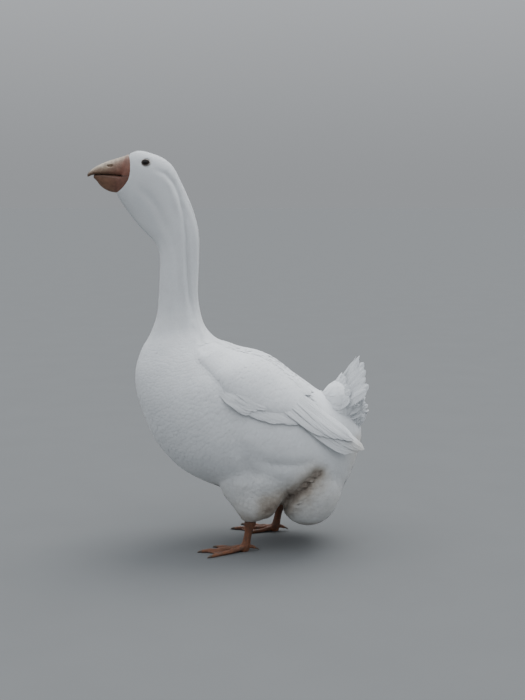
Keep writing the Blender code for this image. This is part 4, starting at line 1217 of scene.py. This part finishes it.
def bill_half(name, rows, look, node):
    """One half of the bill, run on into the plumage at its base, with the upper one's nostrils.
    Gives its surface, for the sheath over the side of the head."""
    ts = np.linspace(0, len(rows) - 1, 90)
    ways = turn(96)
    points = body_point(rows, ts[:, None], ways[None, :])
    middle = (body_point(rows, ts, 0.0) + body_point(rows, ts, math.pi))[:, None] / 2
    upper = node == "bill_upper"
    for side in (-1, 1) if upper else ():
        reach = np.array(NOSTRIL_SIZE) * (1.05, 1.6, 1.25)
        near = (((points - mirrored(NOSTRIL_AT, side)) / reach) ** 2).sum(-1)
        here = points[..., 1] * side > 0
        deep = np.exp(-(near**1.6)) * here
        rim = np.exp(-(((near - 2.3) / 1.1) ** 2)) * here
        points = points + (middle - points) * (0.30 * deep - 0.022 * rim)[..., None]
    crest = 0.5 + 0.5 * np.cos(ways) * (1 if upper else -1)
    points[..., 2] += (-0.0004 if upper else 0.0007) * (1 - crest) ** 2
    base = middle[0] + (points[0] - middle[0]) * 0.95 + np.array((0.0045, 0, 0))
    points, faces, caps = tube_grid(np.concatenate((base[None], points)))
    made = mesh_object(name, points, faces, caps)
    add_value(made, "crest", np.tile(crest, len(ts) + 1))
    add_value(made, "from_base", np.repeat(np.append(0, np.linspace(0, 1, len(ts))), len(ways)))
    dress(made, look)
    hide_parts(node)
    return Ground(points, faces)


def before_margin(places):
    """Whether places on the head belong to the bill's base and not to the plumage."""
    heights, ends = zip(*MARGIN)
    within = (places[:, 2] > heights[0]) & (places[:, 2] < heights[-1])
    return within & (places[:, 0] < np.interp(places[:, 2], heights, ends))


def from_side(surface, x, z, side):
    """Where a surface is first met from one side at x and z, and where it is met."""
    spots = np.stack(np.broadcast_arrays(x, 0.02 * side, z), -1).reshape(-1, 3)
    return surface.outermost(spots, np.broadcast_to((0.0, side, 0.0), spots.shape), 0.04)


def gape(ground, half, upper, side, letter, look):
    """The bill's sheath over the side of the head, laid on the outer of skin and bill half, from on
    the bill back to the plumage."""
    low, high = (MOUTH_Z + 0.0004, 0.7640) if upper else (0.6925, MOUTH_Z - 0.0004)
    heights = np.linspace(low, high, 26)
    front, rear = (np.interp(heights, *zip(*line))[:, None] for line in (HEAD_FRONT, MARGIN))
    share = np.linspace(0, 1, 21)[None, :]
    x = front - 0.0040 + np.maximum(rear + 0.0014 - front + 0.0040, 0.0048) * share
    reached = []
    for surface in (ground, half):
        found, seen = from_side(surface, x, heights[:, None], side)
        reached.append(np.where(seen, np.abs(found[:, 1]), 0.0).reshape(x.shape))
    y = np.maximum(*reached)
    for _ in range(4):
        y[:, 1:-1] = np.maximum(y[:, 1:-1], (y[:, :-2] + y[:, 2:]) / 2)
    toward_mouth = np.abs(heights - MOUTH_Z)[:, None]
    lift = 0.0007 * np.minimum(1, 5 * (1 - share)) * np.minimum(1, 0.1 + 3 * share)
    lift = lift * np.minimum(1, 0.3 + toward_mouth / 0.002) - 0.0003 * (share > 0.9)
    points = np.stack((x, side * (y + lift), heights[:, None] + 0 * x), -1)
    name = ("gape_upper_" if upper else "gape_lower_") + letter
    made = mesh_object(name, points, grid_faces(26, 21, False))
    away = np.minimum(1, toward_mouth / (0.040 if upper else 0.031)) + 0 * x
    add_value(made, "crest", (0.25 + 0.70 * away).ravel())
    add_value(made, "from_base", np.zeros(x.size))
    dress(made, look)


def mouth_corner(ground, side, letter, look):
    """A dark line of painted shade along the mouth's crease, on from the bill to its corner."""
    x = np.linspace(-0.2275, -0.2095, 16)
    line, seen = from_side(ground, x, MOUTH_Z, side)
    line[~seen, 1] = line[seen][0, 1]
    line[:, 1] -= 0.0002 * side
    tube = round_tube(line, 0.0012 * np.sqrt(np.linspace(1, 0.05, 16)), 12)
    dress(mesh_object("mouth_corner_" + letter, *tube), look)


def mouth_lining(look):
    """Tongue and palate, seen in the mouth line, dark as painted shade."""
    ts = np.linspace(0, 4.3, 44)
    rows = read_rows(BILL_UPPER, ts)
    ways = turn(28)
    across = (rows[:, 4] * 0.70 * np.sqrt(np.maximum(0.02, 1 - (ts / 4.4) ** 6)))[:, None]
    high = rows[:, 1:2] - 0.0003 + 0.0020 * np.sin(ways)
    rings = np.stack((rows[:, :1] + 0 * ways, across * np.cos(ways), high), -1)
    rings[0, :, 0] += 0.005
    dress(mesh_object("mouth_lining", *tube_grid(rings)), look)


def bill_nail(look):
    """The hard nail at the tip, a little proud of the bill and rounded at its rear."""
    ts = np.linspace(5.15, 6.98, 30)
    share = (ts - ts[0]) / (ts[-1] - ts[0])
    span = np.radians(8 + 62 * np.sqrt(np.clip(share * 1.6, 0, 1)))
    c = np.linspace(-1, 1, 21)
    points = body_point(BILL_UPPER, ts[:, None], span[:, None] * c[None, :])
    centre = body_point(BILL_UPPER, ts[:, None], math.pi + 0 * c[None, :])
    edge = np.minimum(1, 3.2 * (1 - np.abs(c)))[None, :]
    proud = 0.00055 * edge * np.minimum(1, 6 * share + 0.1)[:, None] - 0.0002
    points = points + unit(points - centre) * proud[..., None]
    dress(mesh_object("bill_nail", points, grid_faces(30, 21, False)), look)


def bill_comb(look):
    """Fine plates along both edges of the bill, in the mouth line."""
    inner = [(dx, -COMB_DEPTH, dz) for dx, _, dz in COMB_PLATE]
    corners = np.array((*COMB_PLATE, *inner)) - (0, 0.0003, 0)
    plate = np.array(((0, 1, 2, 3), (4, 7, 6, 5), (0, 4, 5, 1), (1, 5, 6, 2), (2, 6, 7, 3), (3, 7, 4, 0)))
    points, faces = [], []
    for side, _ in SIDES:
        for k in range(COMB_COUNT):
            edge = body_point(BILL_UPPER, 0.35 + 4.3 * k / (COMB_COUNT - 1), side * 2.02)
            faces.append(plate + len(corners) * len(points))
            points.append(edge + corners * (1, side, 1))
    dress(mesh_object("bill_comb", np.concatenate(points), np.concatenate(faces)), look)


# Legs


def make_shank(side, letter, look):
    """The shank, with broad scales down its front."""
    ts = np.linspace(0, len(SHANK) - 1, 90)
    ways = turn(48)
    points = limb_point(SHANK, ts[:, None], ways[None, :], side, LEG_SHIFT[side])
    front = np.exp(-(((np.abs(ways - math.pi)) / 0.5) ** 2))
    scute = np.abs(((points[..., 2] / SCUTE_STEP) % 1) - 0.5) * 2
    rise = -0.00035 * np.clip((scute - 0.75) / 0.25, 0, 1) * front[None, :]
    middle = points.mean(axis=1, keepdims=True)
    made = mesh_object("shank_skin_" + letter, *tube_grid(points + unit(points - middle) * rise[..., None]))
    dress(made, look)
    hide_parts("shank_" + letter)


def toe_way(degrees, side):
    """The way that a toe points, by its angle from the middle one."""
    angle = math.radians(degrees + FOOT_TURN)
    return np.array((-math.cos(angle), side * math.sin(angle), 0.0))


def toe_lines(side):
    """Where the toes meet, and the centre line, radii and way of each, in the tables' frame."""
    start = np.array((ANKLE[0] + LEG_SHIFT[side], side * ANKLE[1], 0.0))
    lines = []
    for degrees, length, radius, knuckles in TOES:
        way = toe_way(degrees, side)
        f = np.linspace(0, 1, 20 * knuckles + 1)
        radii = radius * (1 - 0.35 * f) * (0.92 - 0.08 * np.cos(2 * math.pi * knuckles * f))
        points = start + way * (length * f)[:, None]
        points[:, 2] = 0.0052 * (1 - f) ** 2 + 0.8 * radii
        lines.append((points, radii, way))
    return start, lines


def round_tube(points, radii, around, ridges=0.0):
    """A closed tube along a line, with ridges across its upper side."""
    ahead = unit(np.gradient(points, axis=0))
    aside = unit(np.cross(ahead, (0.0, 0.0, 1.0)))
    up = unit(np.cross(aside, ahead))
    ways = turn(around)
    band = np.clip((np.abs((run_along(points) / TOE_RIDGE_STEP) % 1 - 0.5) * 2 - 0.6) / 0.4, 0, 1)
    grown = radii[:, None] - ridges * band[:, None] * np.clip(np.sin(ways), 0, 1)[None, :]
    ring = (aside[:, None] * (np.cos(ways)[None, :] * grown)[..., None]
            + up[:, None] * (np.sin(ways)[None, :] * grown)[..., None])
    return tube_grid(points[:, None] + ring)


def webs(start, side):
    """The webs as one thin closed sheet, drawn in and wavy between the toes."""
    rays = []
    for (first, reach_a, *_), (second, reach_b, *_) in zip(TOES, TOES[1:]):
        f = np.linspace(0, 1, 14, endpoint=False)
        reach = (reach_a + (reach_b - reach_a) * f) * (0.93 - 0.13 * np.sin(math.pi * f))
        rays += list(zip(first + (second - first) * f, reach, np.sin(math.pi * f)))
    rays.append((TOES[-1][0], 0.93 * TOES[-1][1], 0.0))
    out = np.linspace(0.05, 1, 26)
    sheets = []
    for base, sign in ((0.0013, -1), (0.0030, 1)):
        sheet = []
        for degrees, reach, middle in rays:
            height = base + 0.0038 * (1 - out) ** 3 + 0.0003 * sign * np.sin(26 * out) * middle
            ray = start + toe_way(degrees, side) * (reach * out)[:, None]
            sheet.append(ray + np.stack((0 * out, 0 * out, height), -1))
        sheets.append(np.array(sheet))
    return tube_grid(np.concatenate((sheets[1], sheets[0][:, ::-1]), axis=1))


def make_foot(side, letter, look, horn):
    """Ankle, toes and webs as one skin, and the claws apart."""
    start, lines = toe_lines(side)
    hind = start + np.array(HIND_TOE)
    rows = [(start[0] + x, ANKLE[1], *rest) for x, *rest in ANKLE_ROWS]
    pieces = [tube_grid(limb_point(rows, np.linspace(0, 2, 16)[:, None], turn(36)[None, :], side, 0.0))]
    pieces += [round_tube(points, radii, 22, 0.0003) for points, radii, _ in lines]
    pieces += [round_tube(hind, np.array(HIND_RADII), 16), webs(start, side)]
    points, faces = remeshed(pieces, FOOT_VOXEL)
    points = relaxed(points, faces, 2, 0.4)
    points[:, 2] = np.maximum(points[:, 2], 0.0)
    made = quad_object("foot_skin_" + letter, points, faces)
    dress(made, look)
    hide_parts("foot_" + letter)
    ends = [(points[-1], way, CLAW_LENGTH, 0.0027) for points, _, way in lines]
    ends.append((hind[-1], np.array((1.0, 0, -0.25)), 0.0075, 0.0021))
    claws, claw_faces = [], []
    for k, (at, way, length, radius) in enumerate(ends):
        f = np.linspace(0, 1, 14)
        line = at + way * (-0.0035 + (length + 0.0035) * f)[:, None]
        line[:, 2] += 0.0008 * np.sin(math.pi * f) - 0.0022 * f**2
        points, faces, _ = round_tube(line, radius * np.maximum(0.08, np.sqrt(1 - f**1.8)), 16)
        points[:, 2] = np.maximum(points[:, 2], 0.0)
        claws.append(points)
        claw_faces.append(faces + k * len(points))
    claw = mesh_object("claws_" + letter, np.concatenate(claws), np.concatenate(claw_faces))
    dress(claw, horn)


# Materials


def ink(code):
    """An sRGB hex colour as linear values."""
    parts = [int(code[k : k + 2], 16) / 255 for k in (1, 3, 5)]
    return tuple(p / 12.92 if p <= 0.04045 else ((p + 0.055) / 1.055) ** 2.4 for p in parts) + (1.0,)


def plug(made, inputs):
    """Links or sets the inputs of a node."""
    for key, value in inputs.items():
        if isinstance(value, bpy.types.NodeSocket):
            made.id_data.links.new(value, made.inputs[key])
        else:
            made.inputs[key].default_value = value


def node(tree, kind, inputs=None, out=0, **settings):
    """Adds a shader node with its settings and inputs, and gives one of its outputs."""
    made = tree.nodes.new("ShaderNode" + kind)
    for key, value in settings.items():
        setattr(made, key, value)
    plug(made, inputs or {})
    return made.outputs[out]


def set_stops(ramp, stops):
    """Gives a colour ramp its stops, as (place, colour)."""
    elements = ramp.node.color_ramp.elements
    for element, (at, colour) in zip(elements, (stops[0], stops[-1])):
        element.position = at
        element.color = ink(colour)
    for at, colour in stops[1:-1]:
        elements.new(at).color = ink(colour)


def new_material(name):
    """A material, what adds a node to it, and the place on the object that its patterns follow."""
    made = bpy.data.materials.new(name)
    made.use_nodes = True
    add = partial(node, made.node_tree)
    return made, add, add("TexCoord", out="Object")


def surfaced(made, inputs):
    """The material with the inputs of its shader linked or set."""
    plug(made.node_tree.nodes["Principled BSDF"], inputs)
    return made


def stained_white(add, place, bright):
    """White plumage by place: faintly mottled, darker low down, and grey-brown with dirt and painted shade
    in the groove.
    """
    patches = add("TexNoise", {"Vector": place, "Scale": 17.0, "Detail": 5.0, "Roughness": 0.62})
    streaks = add("TexNoise", {"Vector": place, "Scale": 65.0, "Detail": 3.0, "Roughness": 0.6})
    mottled = add("Mix", {0: patches, 6: ink("#D3D6D9"), 7: bright}, 2, data_type="RGBA")
    spread = add("Math", {0: patches, 1: streaks}, operation="ADD")
    amount = add("MapRange", {"Value": spread, "From Min": 0.75, "From Max": 1.2,
                              "To Min": 0.70, "To Max": 1.06})
    # the darkening by dirt and painted shade, given for each point
    dirt_and_shade = add("Attribute", out="Fac", attribute_name="soil_and_shade")
    tint = add("ValToRGB", {"Fac": add("Math", {0: dirt_and_shade, 1: amount}, operation="MULTIPLY")})
    set_stops(tint, ((0.0, "#FFFFFF"), (0.25, "#ECE8E2"), (0.50, "#C2B7AA"), (0.75, "#8A7B6E"),
                     (1.0, "#594A40")))
    return add("Mix", {0: 1.0, 6: mottled, 7: tint}, 2, data_type="RGBA", blend_type="MULTIPLY")


def plumage(name, barbs, shaft, bump):
    """White feather: matt keratin barbs that catch the light at their edges, with a faint shaft.
    The barbs are drawn about 1 mm apart, coarser than the real 0.3 mm, so that they show."""
    made, add, place = new_material(name)
    own = add("SeparateXYZ", {"Vector": add("UVMap", uv_map="blade")}).node.outputs
    aside = add("Math", {0: add("Math", {0: own["X"], 1: 0.5}, operation="SUBTRACT")}, operation="ABSOLUTE")
    tone = add("Attribute", out="Fac", attribute_name="tone")
    toned = add("MapRange", {"Value": tone, "To Min": 0.955, "To Max": 1.0})
    # painted shade: each blade is darker towards its root, where the blades overlap
    root = add("MapRange", {"Value": own["Y"], "From Max": 0.55, "To Min": 0.90})
    shade = add("Math", {0: toned, 1: root}, operation="MULTIPLY")
    rachis = add("MapRange", {"Value": aside, "From Min": 0.018, "From Max": 0.045,
                              "To Min": 1 - shaft, "To Max": 1.0})
    darker = add("Math", {0: shade, 1: rachis}, operation="MULTIPLY")
    white = stained_white(add, place, ink("#E9ECEE"))
    colour = add("VectorMath", {0: white, 3: darker}, operation="SCALE")
    along = add("Math", {0: own["Y"], 1: barbs}, operation="MULTIPLY")
    swept = add("Math", {0: aside, 1: -0.9 * barbs, 2: along}, operation="MULTIPLY_ADD")
    lines = add("Math", {0: swept}, operation="SINE")
    relief = add("Bump", {"Strength": bump, "Distance": 0.0004, "Height": lines})
    return surfaced(made, {"Base Color": colour, "Normal": relief, "Roughness": 0.78, "IOR": 1.54,
                           "Specular IOR Level": 0.3, "Sheen Weight": 0.25, "Sheen Roughness": 0.5})


def bare_skin():
    """Skin under the plumage: matt and as white as the down on it, so that no gap shows pink."""
    made, add, place = new_material("down_covered_skin")
    down = add("TexNoise", {"Vector": place, "Scale": 420.0, "Detail": 4.0})
    relief = add("Bump", {"Strength": 0.5, "Distance": 0.0008, "Height": down})
    white = stained_white(add, place, ink("#D9DCDE"))
    return surfaced(made, {"Base Color": white, "Normal": relief, "Roughness": 0.9, "Sheen Weight": 0.2})


def lid_skin():
    """Bare lid skin: thin, finely creased and slightly moist, dark at the margin and paling outwards
    to the plumage."""
    made, add, place = new_material("eyelid_skin")
    grain = add("TexVoronoi", {"Vector": place, "Scale": 1400.0}, feature="DISTANCE_TO_EDGE")
    tint = add("ValToRGB", {"Fac": add("Attribute", out="Fac", attribute_name="from_margin")})
    set_stops(tint, ((0.0, "#241E1B"), (0.16, "#4A3F39"), (0.34, "#A8A29C"), (1.0, "#D9DBDC")))
    relief = add("Bump", {"Strength": 0.6, "Distance": 0.0002, "Height": grain})
    return surfaced(made, {"Base Color": tint, "Normal": relief, "Roughness": 0.5, "IOR": 1.4})


def eye_surface():
    """Wet eye: near black pupil in a dark brown iris under a clear, highly polished cornea."""
    made, add, place = new_material("wet_eye")
    fibres = add("TexNoise", {"Vector": place, "Scale": 1500.0, "Detail": 4.0})
    tint = add("ValToRGB", {"Fac": add("Attribute", out="Fac", attribute_name="from_axis")})
    set_stops(tint, ((0.0, "#050506"), (0.36, "#060607"), (0.40, "#241A14"), (0.66, "#2C211A"),
                     (0.74, "#120E0C"), (1.0, "#171210")))
    colour = add("Mix", {0: fibres, 6: tint, 7: ink("#14100E")}, 2, data_type="RGBA")
    return surfaced(made, {"Base Color": colour, "Roughness": 0.05, "IOR": 1.38})


def bill_horn(name, stops, base_colour, reach):
    """Bill sheath: leathery keratin, paler to the ridge with dust and a painted highlight, flushed red at
    its base, with fine pits and worn streaks about 1 mm apart."""
    made, add, place = new_material(name)
    crest = add("Attribute", out="Fac", attribute_name="crest")
    out = add("Attribute", out="Fac", attribute_name="from_base")
    blotch = add("TexNoise", {"Vector": place, "Scale": 170.0, "Detail": 5.0, "Roughness": 0.65})
    shifted = add("Math", {0: blotch, 1: 0.30, 2: crest}, operation="MULTIPLY_ADD")
    tint = add("ValToRGB", {"Fac": add("Math", {0: shifted, 1: 0.15}, operation="SUBTRACT")})
    set_stops(tint, stops)
    flush = add("MapRange", {"Value": out, "From Max": reach, "To Min": 1.0, "To Max": 0.0})
    lower = add("MapRange", {"Value": crest, "From Min": 0.80, "From Max": 1.0,
                             "To Min": 0.85, "To Max": 0.25})
    red = add("Math", {0: flush, 1: lower}, operation="MULTIPLY")
    body = add("Mix", {0: red, 6: tint, 7: ink(base_colour)}, 2, data_type="RGBA")
    worn = add("MapRange", {"Value": blotch, "From Min": 0.35, "From Max": 0.7,
                            "To Min": 0.70, "To Max": 1.10})
    colour = add("VectorMath", {0: body, 3: worn}, operation="SCALE")
    pits = add("TexVoronoi", {"Vector": place, "Scale": 900.0}, feature="F1")
    both = add("Math", {0: pits, 1: blotch}, operation="ADD")
    relief = add("Bump", {"Strength": 0.40, "Distance": 0.0005, "Height": both})
    return surfaced(made, {"Base Color": colour, "Normal": relief, "Roughness": 0.50, "IOR": 1.54})


def moist_lining():
    """Lining of the mouth: slightly moist and painted near black as shade, so that the mouth line reads as a
    shadow.
    """
    made, add, place = new_material("mouth_lining")
    blotch = add("TexNoise", {"Vector": place, "Scale": 300.0, "Detail": 3.0})
    colour = add("Mix", {0: blotch, 6: ink("#1C1210"), 7: ink("#33211C")}, 2, data_type="RGBA")
    return surfaced(made, {"Base Color": colour, "Roughness": 0.45})


def scaled_leg():
    """Leg skin: dull orange scales about 2 mm across, with mud in the grooves and over the toes."""
    made, add, place = new_material("scaled_leg_skin")
    scales = {"Vector": place, "Scale": 430.0}
    edge = add("TexVoronoi", scales, feature="DISTANCE_TO_EDGE")
    each = add("SeparateColor", {"Color": add("TexVoronoi", scales, "Color", feature="F1")})
    mud = add("TexNoise", {"Vector": place, "Scale": 60.0, "Detail": 6.0, "Roughness": 0.7})
    orange = add("Mix", {0: each, 6: ink("#6E4028"), 7: ink("#8C5534")}, 2, data_type="RGBA")
    muddy = add("MapRange", {"Value": mud, "From Min": 0.36, "From Max": 0.60})
    groove = add("MapRange", {"Value": edge, "From Max": 0.10, "To Min": 1.0, "To Max": 0.0})
    most = add("Math", {0: muddy, 1: groove}, operation="MAXIMUM")
    part = add("Math", {0: most, 1: 0.72}, operation="MULTIPLY")
    colour = add("Mix", {0: part, 6: orange, 7: ink("#453930")}, 2, data_type="RGBA")
    raised = add("MapRange", {"Value": edge, "From Max": 0.16})
    relief = add("Bump", {"Strength": 0.7, "Distance": 0.0005, "Height": raised})
    return surfaced(made, {"Base Color": colour, "Normal": relief, "Roughness": 0.58, "IOR": 1.5})


def claw_horn():
    """Claw: dark horn with lengthwise streaks."""
    made, add, place = new_material("claw_horn")
    squeezed = add("Mapping", {"Vector": place, "Scale": (0.2, 1, 1)})
    streaks = add("TexNoise", {"Vector": squeezed, "Scale": 900.0, "Detail": 3.0})
    colour = add("Mix", {0: streaks, 6: ink("#2B241F"), 7: ink("#6A5A4C")}, 2, data_type="RGBA")
    return surfaced(made, {"Base Color": colour, "Roughness": 0.42})


def studio_floor():
    """Plain matt paper in a pale grey."""
    made, add, place = new_material("paper_floor")
    fibre = add("TexNoise", {"Vector": place, "Scale": 6.0, "Detail": 3.0})
    colour = add("Mix", {0: fibre, 6: ink("#696B6C"), 7: ink("#6D6F70")}, 2, data_type="RGBA")
    return surfaced(made, {"Base Color": colour, "Roughness": 0.95, "Specular IOR Level": 0.05})


# Scene


def add_floor():
    mesh = bpy.data.meshes.new("floor")
    corners = [(x * FLOOR_REACH, y * FLOOR_REACH, 0) for x, y in ((-1, -1), (1, -1), (1, 1), (-1, 1))]
    mesh.from_pydata(corners, [], [(0, 1, 2, 3)])
    mesh.materials.append(studio_floor())
    placed("floor", mesh)


def add_lights():
    """A wide overcast dome, brightest overhead and behind, with one very soft lamp from above the tail."""
    world = bpy.data.worlds.new("studio")
    bpy.context.scene.world = world
    world.use_nodes = True
    add = partial(node, world.node_tree)
    way = add("SeparateXYZ", {"Vector": add("TexCoord", out="Generated")}).node.outputs
    high = add("Math", {0: way["Z"], 1: 1.5}, operation="POWER", use_clamp=True)
    sky = add("MapRange", {"Value": high, "To Min": DOME_LEVELS[0], "To Max": DOME_LEVELS[1]})
    behind = add("MapRange", {"Value": way["Y"], "From Min": -1.0, "To Min": 0.84})
    level = add("Math", {0: sky, 1: behind}, operation="MULTIPLY")
    shade = add("VectorMath", {0: DOME_TINT, 3: level}, operation="SCALE")
    plug(world.node_tree.nodes["Background"], {"Color": shade})
    data = bpy.data.lights.new("soft_lamp", "SUN")
    data.energy = LAMP_STRENGTH
    data.angle = math.radians(LAMP_DEGREES)
    data.color = (1.0, 0.99, 0.97)
    placed("soft_lamp", data).rotation_euler = Vector(LAMP_FROM).to_track_quat("Z", "Y").to_euler()


def add_camera():
    data = bpy.data.cameras.new("camera")
    data.lens = CAMERA_LENS
    data.sensor_fit = "VERTICAL"
    data.sensor_height = 36.0
    data.clip_end = 100
    camera = placed("camera", data)
    camera.location = (CAMERA_X + SHIFT[0], SHIFT[1] - CAMERA_DISTANCE, CAMERA_HEIGHT)
    camera.rotation_euler = (math.radians(90 - CAMERA_PITCH), 0, 0)
    bpy.context.scene.camera = camera


def main():
    add_camera()
    add_lights()
    add_floor()
    lie = Lie()
    drape = Drape(trunk_tree())
    points, faces = make_skin(lie, drape)
    skin = quad_object("skin", points, faces)
    add_value(skin, "soil_and_shade", soil_and_shade(points))
    dress(skin, bare_skin())
    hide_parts("head", "neck_upper", "neck_lower", "torso", "thigh_l", "thigh_r")
    ground = Ground(points, faces)
    silky = plumage("contour_feather", 70.0, 0.02, 0.14)
    quill = plumage("quill_feather", 320.0, 0.10, 0.35)
    coat_body(ground, drape, silky)
    coat_lobes(ground, lie, silky)
    coat_rump(ground, silky)
    coat_thighs(ground, silky)
    coat_gaps(ground, lie, drape, silky)
    coat_wings(ground, drape, silky)
    tail_feathers(quill)
    lid_look, eye_look = lid_skin(), eye_surface()
    sheath = bill_horn("bill_sheath", SHEATH_STOPS, "#7F4E3E", 0.34)
    jaw = bill_horn("lower_bill_sheath", JAW_STOPS, "#754C3E", 0.40)
    nail = bill_horn("bill_nail_horn", ((0.0, "#4C4038"), (1.0, "#6B5D50")), "#4A3E36", 0.1)
    leg_look, horn = scaled_leg(), claw_horn()
    for side, letter in SIDES:
        wing_feathers(drape, side, letter, quill)
        make_eye(side, letter, eye_look)
        make_lids(ground, side, letter, lid_look)
        make_shank(side, letter, leg_look)
        make_foot(side, letter, leg_look, horn)
    lining = moist_lining()
    upper_half = bill_half("bill_sheath_upper", BILL_UPPER, sheath, "bill_upper")
    lower_half = bill_half("bill_sheath_lower", BILL_LOWER, jaw, "bill_lower")
    for side, letter in SIDES:
        gape(ground, upper_half, True, side, letter, sheath)
        gape(ground, lower_half, False, side, letter, jaw)
        mouth_corner(ground, side, letter, lining)
    bill_nail(nail)
    bill_comb(nail)
    mouth_lining(lining)


main()
